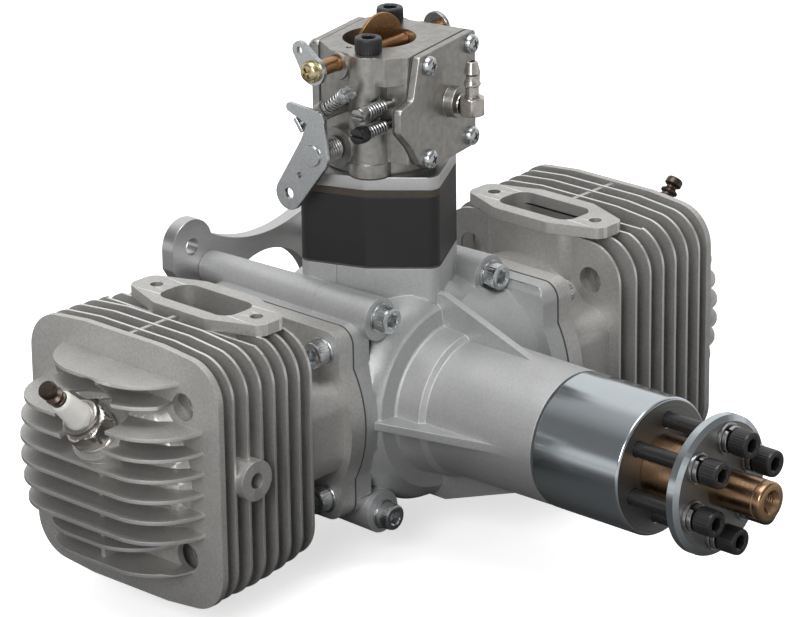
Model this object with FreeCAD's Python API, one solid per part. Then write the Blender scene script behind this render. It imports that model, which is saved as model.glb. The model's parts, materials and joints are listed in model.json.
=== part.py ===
import FreeCAD, Part
import math
import os
from FreeCAD import Placement, Rotation, Vector

# Flat-twin two-stroke petrol engine for a model aircraft, carburettor uppermost.
#
# Everything is worked out about the middle of the crank: X runs along the
# cylinders, -Y towards the propeller and +Z up through the carburettor.
# The last step moves the origin to the rear mounting face, on the crank axis.
# The right-hand cylinder, as seen from behind, lies on -X.

# Engine layout
MOUNT_TO_MID = 56.0
STAGGER = 11.0
BORE = 47.0
STROKE = 34.6
CROWN_HEIGHT = 14.7
FIT = 0.05
GAP = 0.3

# Crankcase
CASE_R = 35.5
CASE_FRONT = -20.0
CASE_REAR = 30.0
LIP_R = 31.0
LIP_Y = -26.0
FACE_Y = -28.0
NOSE_ROOT_R = 24.2
NOSE_STEP_Y = -37.5
NOSE_R = 22.2
NOSE_TIP_R = 21.7
NOSE_Y = -81.5
CHAMBER_R = 28.0
CHAMBER_HALF = 23.0
REAR_BOSS_R = 23.0
REAR_BOSS_Y = 40.0
RIB = 2.8
PAD_X = CASE_R + 0.1
PAD_THICK = 7.0
PAD_R = CASE_R + 2.0
PAD_HALF_Z = CASE_R - 3.9
PAD_HALF_Y = CASE_R - 2.9
PAD_CORNER = 5.6
NECK_R = CASE_R - 2.5
NECK_X = 8.0
CASE_BOLT_X = CASE_R - 9.9
CASE_BOLT_Z = CASE_R - 2.4
CASE_BOSS_R = 7.0
CASE_BOSS_Y = -23.5
STANDOFF_R = 5.3

# Rear mounting plate
PLATE = 5.0
EAR_X = 33.0
EAR_Z = 41.0
EAR_R = 9.0
MOUNT_HOLE_R = 2.75
PLATE_TOP_WAIST = 37.0
PLATE_TOP_ARC = 50.0
PLATE_SIDE_WAIST = 31.0
PLATE_SIDE_ARC = 60.0
WINDOW_R = 22.5
WINDOW_TOP = 30.8

# Cylinders
GASKET = 0.6
SEAL = 0.4
FLANGE = 6.2
BOLT_Y = PAD_HALF_Y - 6.9
BOLT_Z = PAD_HALF_Z - 7.1
BARREL_R = 28.5
BULGE_HALF_Y = 34.0
BULGE_HALF_Z = 16.0
SPIGOT_R = 26.0
SPIGOT_X = PAD_X - 8.6
FIN_COUNT = 7
FIN_PITCH = 6.03
FIN_FIRST = PAD_X + 25.2
FIN = 1.1
FIN_ROOT_HALF = 37.6
FIN_FULL_HALF = 40.3
FIN_BACK_ROOT = 38.0
FIN_BACK_HALF = 41.3
FIN_CORNER = 13.0
FIN_CROWN = 2.4
HEAD_FACE = PAD_X + 67.8
HEAD_PLATE = 2.4
HEAD_HALF = 40.7
HEAD_FIN = 1.3
HEAD_FIN_PITCH = 6.7
HEAD_FIN_TOP = 31.5
HEAD_FIN_COUNT = 10
HEAD_FIN_X = HEAD_FACE + 18.6
HEAD_FIN_LOW = -38.7
HEAD_FIN_HIGH = 33.5
HEAD_FIN_CORNER = 19.0
HEAD_DOME_R = 26.0
HEAD_DOME_X = HEAD_FACE + 6.1
ACCESS_R = 4.4
CHAMBER_X = HEAD_FACE - 6.4
CHAMBER_DEPTH = 4.5
SIDE_BOSS_X = HEAD_FACE - 13.4
SIDE_BOSS_Y = 43.0
SIDE_BOSS_Z = 1.0
SIDE_BOSS_R = 6.45
SIDE_HOLE_R = 2.5

# Exhaust
EXHAUST_X = PAD_X + 31.4
EXHAUST_TOP = 42.3
EXHAUST_FLANGE = 3.8
EXHAUST_HOLE_Y = 21.7
EXHAUST_HOLE_R = 2.1
EXHAUST_LUG_R = 7.2
EXHAUST_BODY_X = 24.0
EXHAUST_BODY_Y = 30.0
PORT_X = 14.0
PORT_Y = 31.0
PORT_CORNER = 4.5
EXHAUST_WALL = 3.0

# Spark plug
PLUG_TILT = 45.0
PLUG_SEAT_X = HEAD_FACE + 11.0
PLUG_LINE = PLUG_SEAT_X - 12.9
PLUG_THREAD_R = 5.0
PLUG_REACH = 16.0
PLUG_HEX = 14.0
PLUG_WELL_R = 11.0
PLUG_BOSS_R = 9.5

# Intake stack
STACK_YAW = 30.0
STACK_HALF_U = 15.3
STACK_TIP_U = 19.2
STACK_HALF_V = 22.3
STACK_CORNER = 4.0
STACK_Z = 44.0
BLOCK = 22.8
LAYER = 2.3
ADAPTER = 4.4
DUCT_U = 20.0
DUCT_V = 30.0
REED_DEPTH = STACK_Z - CHAMBER_R + 1.0

# Carburettor
CARB_X = 1.2
CARB_YAW = 12.0
SHAFT_YAW = 2.0
SCREW_YAW = 31.0
SCREW_REACH = 16.5
CARB_TOP = 113.0
CARB_FLANGE = 4.5
CHOKE_BORE_R = 11.5
VENTURI_R = 9.5
THROTTLE_BORE_R = 11.05
CHOKE_Z = 109.5
THROTTLE_Z = 82.5
CHOKE_SHAFT_R = 2.5
THROTTLE_SHAFT_R = 3.0
FRONT_V = 19.2
REAR_V = 14.5
COVER_GASKET = 0.5
COVER = 2.6
COVER_LIP = 3.8
COVER_LUG = 12.8
COVER_SCREW_U = 4.5
COVER_SCREW_HALF_U = 13.0
COVER_SCREW_Z = 94.2
COVER_SCREW_HALF_Z = 15.1
REAR_COVER_U = 2.7
REAR_COVER_HALF_U = 11.0
REAR_COVER_Z = 94.0
REAR_COVER_HALF_Z = 15.0
DECK = 9.0
BODY_U = 20.3
LEVER_X = -30.9
CHOKE_LEVER_X = -30.0
NIPPLE_BOSS = 3.4
NIPPLE_HEX = 7.5
SPRING_END_X = -21.7

# Propeller drive
SHAFT_R = 7.5
BEARING_R = 17.5
BEARING_W = 11.0
DRIVER_R = 21.8
DRIVER_BACK = -81.9
DRIVER_FRONT = -115.9
HUB_R = 10.7
WASHER_R = 22.0
WASHER_BACK = -134.8
WASHER_FRONT = -138.6
STUD_R = 6.2
STUD_FRONT = -157.7
STUD_HOLE_R = 2.5
PROP_PCD = 30.0
PROP_BOLTS = 6
PROP_TURN = 9.5
FLAT_WASHER = 1.2
SPRING_WASHER = 2.2

# Fasteners
M5_R = 2.45
M5_HEAD_R = 4.25
M5_HEAD = 5.0
M5_KEY = 4.0
CLEAR_R = 2.65
TAP_R = 2.5

CRANK_R = STROKE / 2
ROD_LENGTH = CHAMBER_X - 1.0 - CROWN_HEIGHT - CRANK_R
PIN_X = CRANK_R + ROD_LENGTH
CROWN_X = PIN_X + CROWN_HEIGHT
BLOCK_TOP = STACK_Z + BLOCK
LAYER_TOP = BLOCK_TOP + LAYER
ADAPTER_TOP = LAYER_TOP + ADAPTER
PLATE_FRONT = MOUNT_TO_MID - PLATE
FLANGE_FOOT = PAD_X + GASKET
FLANGE_TOP = FLANGE_FOOT + FLANGE


# Shapes along an axis

def aimed(shape, at, along):
    """Turn a shape built up the Z axis to another axis and carry it to its place."""
    shape.Placement = Placement(Vector(*at), Rotation(Vector(0, 0, 1), Vector(*along)))
    return shape


def rod(radius, length, at, along):
    """A solid round bar."""
    return aimed(Part.makeCylinder(radius, length), at, along)


def tube(outer, inner, length, at, along):
    """A round bar with a round hole through it."""
    wall = Part.makeCylinder(outer, length).cut(Part.makeCylinder(inner, length))
    return aimed(wall, at, along)


def lathe(profile, at, along):
    """Spin a closed outline of (radius, height) points about an axis."""
    points = [Vector(radius, 0, height) for radius, height in profile]
    face = Part.Face(Part.makePolygon(points + points[:1]))
    return aimed(face.revolve(Vector(0, 0, 0), Vector(0, 0, 1), 360), at, along)


def rounded(points, radius):
    """A closed wire through (x, y) points with every corner turned into an arc."""
    corners = []
    for index, point in enumerate(points):
        corner = Vector(point[0], point[1], 0)
        before = Vector(*points[index - 1], 0) - corner
        after = Vector(*points[(index + 1) % len(points)], 0) - corner
        before.normalize()
        after.normalize()
        half = before.getAngle(after) / 2
        bisector = before + after
        bisector.normalize()
        run = radius / math.tan(half)
        depth = radius / math.sin(half) - radius
        corners.append((corner + before * run, corner + bisector * depth, corner + after * run))
    edges = []
    for index, (start, middle, stop) in enumerate(corners):
        edges.append(Part.Arc(start, middle, stop).toShape())
        following = corners[(index + 1) % len(corners)][0]
        if following.distanceToPoint(stop) > 1e-6:
            edges.append(Part.LineSegment(stop, following).toShape())
    return Part.Wire(edges)


def prism(wire, height):
    """Raise a flat wire into a solid."""
    return Part.Face(wire).extrude(Vector(0, 0, height))


def polygon(points):
    """A closed wire with sharp corners."""
    corners = [Vector(x, y, 0) for x, y in points]
    return Part.makePolygon(corners + corners[:1])


def rectangle(width, depth, radius):
    """A rounded rectangle about the origin."""
    x, y = width / 2, depth / 2
    return rounded([(-x, -y), (x, -y), (x, y), (-x, y)], radius)


def hexagon(across_flats):
    """A hexagon given by its width across flats."""
    reach = across_flats / math.sqrt(3)
    turns = [math.radians(60 * side) for side in range(6)]
    return polygon([(reach * math.cos(turn), reach * math.sin(turn)) for turn in turns])


def across_x(shape, start):
    """Lay a shape built in the XY plane into YZ, rising along +X from start."""
    shape.Placement = Placement(Vector(start, 0, 0), Rotation(Vector(1, 1, 1), 120))
    return shape


def across_y(shape, start):
    """Lay a shape built in the XY plane into XZ, rising along -Y from start."""
    shape.Placement = Placement(Vector(0, start, 0), Rotation(Vector(1, 0, 0), 90))
    return shape


def lifted(shape, height):
    """Carry a shape straight up."""
    shape.translate(Vector(0, 0, height))
    return shape


def yawed(shape, degrees, centre_x=0.0):
    """Turn a shape about an upright line through (centre_x, 0), after moving it there."""
    shape.rotate(Vector(0, 0, 0), Vector(0, 0, 1), degrees)
    shape.translate(Vector(centre_x, 0, 0))
    return shape


def corners(x, z):
    """The four places (+-x, +-z)."""
    return [(sx * x, sz * z) for sx in (-1, 1) for sz in (-1, 1)]


def joined(first, *others):
    """Fuse shapes and drop the seams between coplanar faces."""
    return first.fuse(list(others)).removeSplitter()


def built_up(body, pieces):
    """Add pieces to a body one at a time, which is steadier than all at once."""
    for piece in pieces:
        body = body.fuse(piece)
    return body


def cut_down(body, tools):
    """Take tools out of a body one at a time."""
    for tool in tools:
        body = body.cut(tool)
    return body


def group(shapes):
    """Several separate solids in one node."""
    return Part.makeCompound(shapes)


def on_side(shape, side):
    """Set a cylinder's own piece on the left (+1) or the right (-1) of the crank."""
    if side < 0:
        shape.rotate(Vector(0, 0, 0), Vector(0, 0, 1), 180)
    shape.translate(Vector(0, -side * STAGGER, 0))
    return shape


def cap_screw(length, head_r=M5_HEAD_R, head=M5_HEAD, shank_r=M5_R, key=M5_KEY):
    """A socket-head screw: head above Z 0, shank below."""
    screw = Part.makeCylinder(head_r, head).fuse(lifted(Part.makeCylinder(shank_r, length), -length))
    socket = lifted(prism(hexagon(key), head * 0.6), head * 0.45)
    return screw.cut(socket)


# Crankcase

def pad(start, thickness):
    """A slab with the outline of the face that carries a cylinder."""
    square = prism(rectangle(2 * PAD_HALF_Y, 2 * PAD_HALF_Z, PAD_CORNER), thickness)
    band = Part.makeBox(2 * PAD_R, 2 * PAD_HALF_Z, thickness, Vector(-PAD_R, -PAD_HALF_Z, 0))
    disc = Part.makeCylinder(PAD_R, thickness).common(band)
    return across_x(joined(square, disc), start)


def case_shell():
    """The outside of both halves, with ribs, bosses, pads and platform."""
    profile = [(0, REAR_BOSS_Y), (REAR_BOSS_R - 1.5, REAR_BOSS_Y), (REAR_BOSS_R, REAR_BOSS_Y - 1.5),
               (REAR_BOSS_R + 0.8, CASE_REAR + 2), (CASE_R - 5, CASE_REAR), (CASE_R, CASE_REAR - 5),
               (CASE_R, CASE_FRONT), (LIP_R + 2, LIP_Y + 1.2), (LIP_R, LIP_Y), (LIP_R - 1.2, FACE_Y + 0.6),
               (NOSE_ROOT_R + 0.6, FACE_Y), (NOSE_ROOT_R, FACE_Y - 0.8), (NOSE_ROOT_R - 0.4, NOSE_STEP_Y),
               (NOSE_R, NOSE_STEP_Y - 1.4), (NOSE_TIP_R, NOSE_Y), (0, NOSE_Y)]
    shell = lathe([(radius, -y) for radius, y in profile], (0, 0, 0), (0, -1, 0))
    platform_foot = CHAMBER_R - 5
    platform = yawed(stack_prism(platform_foot, STACK_Z - GASKET - platform_foot), STACK_YAW)
    pieces = case_ribs() + case_bosses() + [platform]
    for side in (1, -1):
        pieces.append(on_side(rod(NECK_R, PAD_X - PAD_THICK + 1 - NECK_X, (NECK_X, 0, 0), (1, 0, 0)), side))
        pieces.append(on_side(pad(PAD_X - PAD_THICK, PAD_THICK), side))
    return built_up(shell, pieces)


def case_ribs():
    """Four webs from the crankcase to the nose, drawn as (forward, outward)."""
    inside = NOSE_TIP_R - 4
    tall = [(-16, inside), (-16, CASE_R - 1), (FACE_Y, 34.9), (-65.2, NOSE_TIP_R), (-65.2, inside)]
    low = [(-16, inside), (-16, CASE_R - 1), (-67.6, NOSE_TIP_R), (-67.6, inside)]
    webs = []
    for turn in (0, 90, 180, 270):
        web = across_x(prism(polygon(tall if turn in (0, 180) else low), RIB), -RIB / 2)
        web.rotate(Vector(0, 0, 0), Vector(0, 1, 0), turn)
        if turn in (90, 270):
            web.translate(Vector(0, 0, -0.7))
        webs.append(web)
    return webs


def case_bosses():
    """The four round bosses that carry the case bolts and run back to the mounting plate."""
    bosses = []
    for x, z in corners(CASE_BOLT_X, CASE_BOLT_Z - 0.7):
        length = PLATE_FRONT - CASE_BOSS_Y
        bosses.append(aimed(Part.makeCone(CASE_BOSS_R, STANDOFF_R, length), (x, CASE_BOSS_Y, z), (0, 1, 0)))
    return bosses


def case_hollow():
    """Crank chamber, bearing seats, cylinder mouths and the intake duct."""
    front_seat = FACE_Y - BEARING_W
    nose_seat = NOSE_Y + 5 + BEARING_W
    rounds = [rod(CHAMBER_R, 2 * CHAMBER_HALF, (0, -CHAMBER_HALF, 0), (0, 1, 0)),
              rod(BEARING_R - 3, CHAMBER_HALF - FACE_Y, (0, FACE_Y, 0), (0, 1, 0)),
              rod(BEARING_R + FIT, BEARING_W, (0, front_seat, 0), (0, 1, 0)),
              rod(BEARING_R - 3, front_seat - nose_seat, (0, nose_seat, 0), (0, 1, 0)),
              rod(BEARING_R + FIT, nose_seat - NOSE_Y, (0, NOSE_Y, 0), (0, 1, 0)),
              rod(BEARING_R + FIT, BEARING_W, (0, CHAMBER_HALF, 0), (0, 1, 0))]
    mouths = [on_side(rod(SPIGOT_R + FIT, PAD_X, (0, 0, 0), (1, 0, 0)), side) for side in (1, -1)]
    duct = yawed(prism(rectangle(DUCT_U, DUCT_V, 3), STACK_Z), STACK_YAW)
    return rounds + mouths + [duct]


def case_holes():
    """Bolt holes for the case, the cylinders and the carburettor screws."""
    holes = []
    for x, z in corners(CASE_BOLT_X, CASE_BOLT_Z):
        holes.append(rod(CLEAR_R, -CASE_BOSS_Y, (x, CASE_BOSS_Y, z), (0, 1, 0)))
        holes.append(rod(TAP_R, 22, (x, 0, z), (0, 1, 0)))
        holes.append(rod(M5_HEAD_R + 0.8, 40, (x, CASE_BOSS_Y, z), (0, -1, 0)))
        holes.append(rod(TAP_R, 12, (x, PLATE_FRONT - 12, z - math.copysign(0.7, z)), (0, 1, 0)))
    for side in (1, -1):
        for y, z in corners(BOLT_Y, BOLT_Z):
            holes.append(on_side(rod(TAP_R, PAD_THICK - 1, (PAD_X - PAD_THICK + 1, y, z), (1, 0, 0)), side))
    for x, y in carb_screw_places():
        holes.append(rod(TAP_R, 12, (x, y, STACK_Z - GASKET - 12), (0, 0, 1)))
    return holes


def crankcase():
    """The whole crankcase, ready to be split at the middle of the crank."""
    return cut_down(case_shell(), case_hollow() + case_holes())


def front_case(body):
    """The half with the nose."""
    keep = Part.makeBox(200, 200, 200, Vector(-100, -200, -100))
    return body.common(keep)


def rear_case(body):
    """The half with the standoffs for the mounting plate."""
    keep = Part.makeBox(200, 200, 200, Vector(-100, 0, -100))
    return body.common(keep)


def rear_mount_plate():
    """A plate with four ears, concave edges and a long round-ended window."""
    x, z = EAR_X + EAR_R, EAR_Z + EAR_R
    outline = [(x, -EAR_Z), (x, EAR_Z), (EAR_X, z), (-EAR_X, z),
               (-x, EAR_Z), (-x, -EAR_Z), (-EAR_X, -z), (EAR_X, -z)]
    plate = prism(polygon(outline), PLATE)
    ears = [Part.makeCylinder(EAR_R, PLATE, Vector(ex, ez, 0)) for ex, ez in corners(EAR_X, EAR_Z)]
    arcs = []
    for sign in (1, -1):
        top = Vector(0, sign * (PLATE_TOP_WAIST + PLATE_TOP_ARC), 0)
        side = Vector(sign * (PLATE_SIDE_WAIST + PLATE_SIDE_ARC), 0, 0)
        arcs += [Part.makeCylinder(PLATE_TOP_ARC, PLATE, top), Part.makeCylinder(PLATE_SIDE_ARC, PLATE, side)]
    plate = built_up(cut_down(plate, arcs), ears)
    cuts = [prism(rectangle(2 * WINDOW_R, 2 * WINDOW_TOP, WINDOW_R - 0.01), PLATE)]
    for ex, ez in corners(EAR_X, EAR_Z):
        cuts.append(Part.makeCylinder(MOUNT_HOLE_R, PLATE, Vector(ex, ez, 0)))
    for sx, sz in corners(CASE_BOLT_X, CASE_BOLT_Z - 0.7):
        cuts.append(Part.makeCylinder(CLEAR_R, PLATE, Vector(sx, sz, 0)))
        cuts.append(Part.makeCone(M5_HEAD_R + 0.6, CLEAR_R, 3, Vector(sx, sz, 0)))
    return across_y(cut_down(plate, cuts), MOUNT_TO_MID)


def mount_screws():
    """Countersunk screws that hold the plate to the standoffs."""
    screws = []
    for x, z in corners(CASE_BOLT_X, CASE_BOLT_Z - 0.7):
        head = Part.makeCone(M5_HEAD_R + 0.5, M5_R, 2.9)
        screw = head.fuse(Part.makeCylinder(M5_R, 14)).cut(prism(hexagon(3), 2))
        screws.append(aimed(screw, (x, MOUNT_TO_MID - 0.05, z), (0, -1, 0)))
    return group(screws)


def case_bolts():
    """Four long socket screws that clamp the case halves."""
    screws = [cap_screw(42) for _ in range(4)]
    places = corners(CASE_BOLT_X, CASE_BOLT_Z)
    return group([aimed(screw, (x, CASE_BOSS_Y, z), (0, -1, 0)) for screw, (x, z) in zip(screws, places)])


# Cylinders

def fin_outline(half, back):
    """A rounded square with a gentle crown at top and bottom, given by its reach to either side."""
    shoulder = half - 1.2
    crown = half + FIN_CROWN - 1.2
    points = [(-back, -shoulder), (-half * 0.4, -crown), (half * 0.4, -crown), (half, -shoulder),
              (half, shoulder), (half * 0.4, crown), (-half * 0.4, crown), (-back, shoulder)]
    return rounded(points, FIN_CORNER)


def cooling_fins():
    """The plates round the barrel, a little smaller towards the crankcase, and the head plate."""
    fins = []
    for index in range(FIN_COUNT):
        taper = (FIN_COUNT - 1 - index) / (FIN_COUNT - 1)
        half = FIN_FULL_HALF - (FIN_FULL_HALF - FIN_ROOT_HALF) * taper ** 2
        back = FIN_BACK_HALF - (FIN_BACK_HALF - FIN_BACK_ROOT) * taper ** 4
        fins.append(across_x(prism(fin_outline(half, back), FIN), FIN_FIRST + index * FIN_PITCH - FIN))
    plate = prism(fin_outline(HEAD_HALF, HEAD_HALF), HEAD_PLATE)
    fins.append(across_x(plate, HEAD_FACE - HEAD_PLATE))
    return fins


def head_fin(index):
    """One level fin on the head: full width in the middle, shorter at top and bottom."""
    z = HEAD_FIN_TOP - index * HEAD_FIN_PITCH
    off_middle = index - (HEAD_FIN_COUNT - 1) / 2
    low, high, reach = HEAD_FIN_LOW + 0.42 * off_middle ** 2, HEAD_FIN_HIGH, HEAD_FIN_X
    if index < 2:
        low, high, reach = -27.0, 25.0, HEAD_FIN_X - 4.5
    elif index == HEAD_FIN_COUNT - 2:
        low, high, reach = -29.0, 20.6, HEAD_FIN_X - 3
    elif index == HEAD_FIN_COUNT - 1:
        low, high, reach = -29.0, 28.2, HEAD_FIN_X - 4
    start = HEAD_FACE - HEAD_PLATE
    outline = [(start, low), (reach, low), (reach, high), (start, high)]
    flat = prism(polygon(outline), HEAD_FIN)
    back = start - 50
    ends = rounded([(back, low), (reach, low), (reach, high), (back, high)], HEAD_FIN_CORNER)
    return lifted(flat.common(prism(ends, HEAD_FIN)), z - HEAD_FIN / 2)


def head_fins():
    """All the level fins, and the webs that tie them and the upright plates along the middle."""
    fins = [head_fin(index) for index in range(HEAD_FIN_COUNT)]
    foot = HEAD_FIN_TOP - (HEAD_FIN_COUNT - 1) * HEAD_FIN_PITCH
    web = Part.makeBox(12, 1.6, HEAD_FIN_TOP - foot, Vector(HEAD_FACE - 1, -0.8, foot))
    ridge_foot = HEAD_FACE - 25.0
    ridge = Part.makeBox(24, 1.6, 14, Vector(ridge_foot, -0.8, 27))
    return fins + [web, ridge]


def plug_axis():
    """Where the plug seats and which way it points, in the cylinder's own frame."""
    tilt = math.radians(PLUG_TILT)
    return (PLUG_SEAT_X, 0, PLUG_SEAT_X - PLUG_LINE), (math.cos(tilt), 0, math.sin(tilt))


def exhaust_flange():
    """The flange plate: a middle block and two round lugs."""
    waist, half = EXHAUST_BODY_X / 2, EXHAUST_BODY_Y / 2 - 4
    tip = EXHAUST_HOLE_Y + EXHAUST_LUG_R
    lug = EXHAUST_LUG_R - 2
    points = [(-waist, -half), (-lug, -tip), (lug, -tip), (waist, -half), (waist, half), (lug, tip),
              (-lug, tip), (-waist, half)]
    plate = prism(rounded(points, 4.0), EXHAUST_FLANGE)
    plate.translate(Vector(EXHAUST_X, 0, EXHAUST_TOP - EXHAUST_FLANGE))
    return plate


def exhaust_neck():
    """The square-shouldered duct from the barrel up to the flange."""
    neck = prism(rectangle(PORT_X + 2 * EXHAUST_WALL, PORT_Y + 2 * EXHAUST_WALL, PORT_CORNER + 1),
                 EXHAUST_TOP - EXHAUST_FLANGE - 15)
    neck.translate(Vector(EXHAUST_X, 0, 15))
    return neck


def exhaust_cuts():
    """The port from the bore to the flange face and the two stud holes."""
    port = prism(rectangle(PORT_X, PORT_Y, PORT_CORNER), EXHAUST_TOP - 10)
    port.translate(Vector(EXHAUST_X, 0, 10))
    studs = [rod(EXHAUST_HOLE_R, 9, (EXHAUST_X, y, EXHAUST_TOP - 9), (0, 0, 1))
             for y in (-EXHAUST_HOLE_Y, EXHAUST_HOLE_Y)]
    return [port] + studs


def cylinder_block():
    """The foot, the barrel, the bulge over the ports, the domed head and the spigot."""
    bulge = prism(rectangle(2 * BULGE_HALF_Y, 2 * BULGE_HALF_Z, 9), FIN_FIRST - FLANGE_FOOT)
    crown = HEAD_DOME_X - HEAD_FACE
    dome = [(0, 0), (BARREL_R, 0), (HEAD_DOME_R, crown / 2), (HEAD_DOME_R - 8, crown), (0, crown + 1)]
    boss_foot = BARREL_R - 5
    pieces = [rod(BARREL_R, HEAD_FACE - FLANGE_FOOT, (FLANGE_FOOT, 0, 0), (1, 0, 0)),
              across_x(bulge, FLANGE_FOOT),
              lathe(dome, (HEAD_FACE, 0, 0), (1, 0, 0)),
              rod(SPIGOT_R, FLANGE_FOOT - SPIGOT_X, (SPIGOT_X, 0, 0), (1, 0, 0)),
              rod(SIDE_BOSS_R, SIDE_BOSS_Y - boss_foot, (SIDE_BOSS_X, boss_foot, SIDE_BOSS_Z), (0, 1, 0)),
              exhaust_neck()]
    return built_up(pad(FLANGE_FOOT, FLANGE), pieces + cooling_fins() + head_fins())


def cylinder_cuts():
    """Bore and chamber, plug hole, side hole and the holes over the four screws."""
    seat, aim = plug_axis()
    reach = PLUG_REACH + 4
    foot = [seat[axis] - reach * aim[axis] for axis in range(3)]
    top = CHAMBER_X - SPIGOT_X
    chamber = [(0, -5), (BORE / 2, -5), (BORE / 2, top), (BORE / 2 - 9, top + CHAMBER_DEPTH - 1),
               (0, top + CHAMBER_DEPTH)]
    cuts = [lathe(chamber, (SPIGOT_X, 0, 0), (1, 0, 0)),
            rod(PLUG_THREAD_R + FIT, reach, foot, aim),
            rod(SIDE_HOLE_R, 12, (SIDE_BOSS_X, SIDE_BOSS_Y - 12, SIDE_BOSS_Z), (0, 1, 0))]
    for y, z in corners(BOLT_Y, BOLT_Z):
        cuts.append(rod(CLEAR_R, FLANGE, (FLANGE_FOOT, y, z), (1, 0, 0)))
        cuts.append(rod(ACCESS_R, 90, (FLANGE_TOP, y, z), (1, 0, 0)))
    return cuts


def cylinder():
    """One cylinder with its head, cast in one piece, lying along +X."""
    seat, aim = plug_axis()
    well = rod(PLUG_WELL_R, 40, seat, aim)
    foot = [seat[axis] - PLUG_REACH * aim[axis] for axis in range(3)]
    clear = Part.makeBox(28, 64, 20, Vector(EXHAUST_X - 14.5, -32, EXHAUST_TOP - EXHAUST_FLANGE))
    body = cut_down(cylinder_block(), [well, clear])
    body = built_up(body, [exhaust_flange(), rod(PLUG_BOSS_R, PLUG_REACH, foot, aim)])
    return cut_down(body, cylinder_cuts() + exhaust_cuts())


def base_gaskets():
    """The paper gaskets under the cylinders."""
    seals = []
    for side in (1, -1):
        seal = pad(PAD_X, GASKET).cut(rod(SPIGOT_R + 0.5, GASKET, (PAD_X, 0, 0), (1, 0, 0)))
        for y, z in corners(BOLT_Y, BOLT_Z):
            seal = seal.cut(rod(CLEAR_R, GASKET, (PAD_X, y, z), (1, 0, 0)))
        seals.append(on_side(seal, side))
    return group(seals)


def cylinder_bolts():
    """Four socket screws to each cylinder."""
    screws = []
    for side in (1, -1):
        for y, z in corners(BOLT_Y, BOLT_Z):
            screw = aimed(cap_screw(FLANGE + GASKET + PAD_THICK - 1.5), (FLANGE_TOP, y, z), (1, 0, 0))
            screws.append(on_side(screw, side))
    return group(screws)


# Spark plugs, built up the Z axis from the seat

def plug_place(shape, side):
    """Carry a plug piece from its own axis to its cylinder."""
    seat, aim = plug_axis()
    return on_side(aimed(shape, seat, aim), side)


def plug_shell(side):
    """The steel body: thread, seal ring, hexagon and rolled collar."""
    shell = lathe([(0, -PLUG_REACH), (PLUG_THREAD_R, -PLUG_REACH), (PLUG_THREAD_R, 0), (7.2, 0), (7.2, 1.4),
                   (6.7, 1.4), (6.7, 8.8), (6.4, 10.8), (0, 10.8)], (0, 0, 0), (0, 0, 1))
    nut = lifted(prism(hexagon(PLUG_HEX), 7), 1.4)
    return plug_place(joined(shell, nut), side)


def plug_insulator(side):
    """The ribless white ceramic."""
    outline = [(0, 10.8), (4.9, 10.8), (4.7, 12.4), (3.6, 21.0), (3.0, 21.6), (0, 21.6)]
    body = lathe(outline, (0, 0, 0), (0, 0, 1))
    return plug_place(body, side)


def plug_terminal(side):
    """The waisted cap that takes the ignition lead."""
    cap = lathe([(0, 21.6), (2.1, 21.6), (2.1, 22.6), (2.7, 23.0), (2.7, 24.3), (1.9, 24.8), (1.9, 26.0),
                 (2.9, 26.6), (2.9, 28.8), (2.5, 29.3), (0, 29.3)], (0, 0, 0), (0, 0, 1))
    return plug_place(cap, side)


# Intake stack

def carb_screw_places():
    """The two long screws either side of the carburettor bore."""
    turn = math.radians(SCREW_YAW)
    u, v = SCREW_REACH * math.cos(turn), SCREW_REACH * math.sin(turn)
    return [(CARB_X + sign * u, sign * v) for sign in (-1, 1)]


def stack_outline():
    """The six-sided outline that the block, the gaskets and the platform share."""
    return rounded([(-STACK_HALF_U, -STACK_HALF_V), (STACK_HALF_U, -STACK_HALF_V), (STACK_TIP_U, 0),
                    (STACK_HALF_U, STACK_HALF_V), (-STACK_HALF_U, STACK_HALF_V), (-STACK_TIP_U, 0)],
                   STACK_CORNER)


def stack_prism(start, height):
    """A slab of the stack, before it is turned."""
    return lifted(prism(stack_outline(), height), start)


def stack_layer(start, height, duct_u=DUCT_U, duct_v=DUCT_V):
    """A slab of the stack with the duct and the two screw holes through it."""
    slab = stack_prism(start, height).cut(lifted(prism(rectangle(duct_u, duct_v, 3), height), start))
    slab = yawed(slab, STACK_YAW)
    return slab.cut([rod(CLEAR_R, height, (x, y, start), (0, 0, 1)) for x, y in carb_screw_places()])


def reed_block():
    """The black block that holds the reed cage, with a pocket for the cage's rim."""
    block = stack_layer(STACK_Z, BLOCK)
    pocket = lifted(prism(rectangle(DUCT_U + 3 + 2 * FIT, DUCT_V + 6 + 2 * FIT, 2), 3), STACK_Z)
    return block.cut(yawed(pocket, STACK_YAW))


def reed_cage():
    """A wedge with a window in each slope, hanging in the duct from its rim."""
    rim = lifted(prism(rectangle(DUCT_U + 3, DUCT_V + 6, 2), 3 - FIT), STACK_Z)
    half_u, half_v = DUCT_U / 2 - 1, DUCT_V / 2 - 1
    side = polygon([(-half_u, 0), (half_u, 0), (0.8, -REED_DEPTH), (-0.8, -REED_DEPTH)])
    wedge = across_y(prism(side, 2 * half_v), half_v)
    wedge = lifted(wedge, STACK_Z)
    inner = polygon([(-half_u + 2, 3), (half_u - 2, 3), (0.2, -REED_DEPTH + 3), (-0.2, -REED_DEPTH + 3)])
    hollow = lifted(across_y(prism(inner, 2 * half_v - 4), half_v - 2), STACK_Z)
    windows = []
    for row in (-1, 0, 1):
        corner = Vector(-2 * half_u, row * 8 - 3, STACK_Z - REED_DEPTH + 5)
        window = Part.makeBox(4 * half_u, 6, REED_DEPTH - 8, corner)
        windows.append(window)
    return yawed(joined(rim, wedge).cut([hollow] + windows), STACK_YAW)


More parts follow.
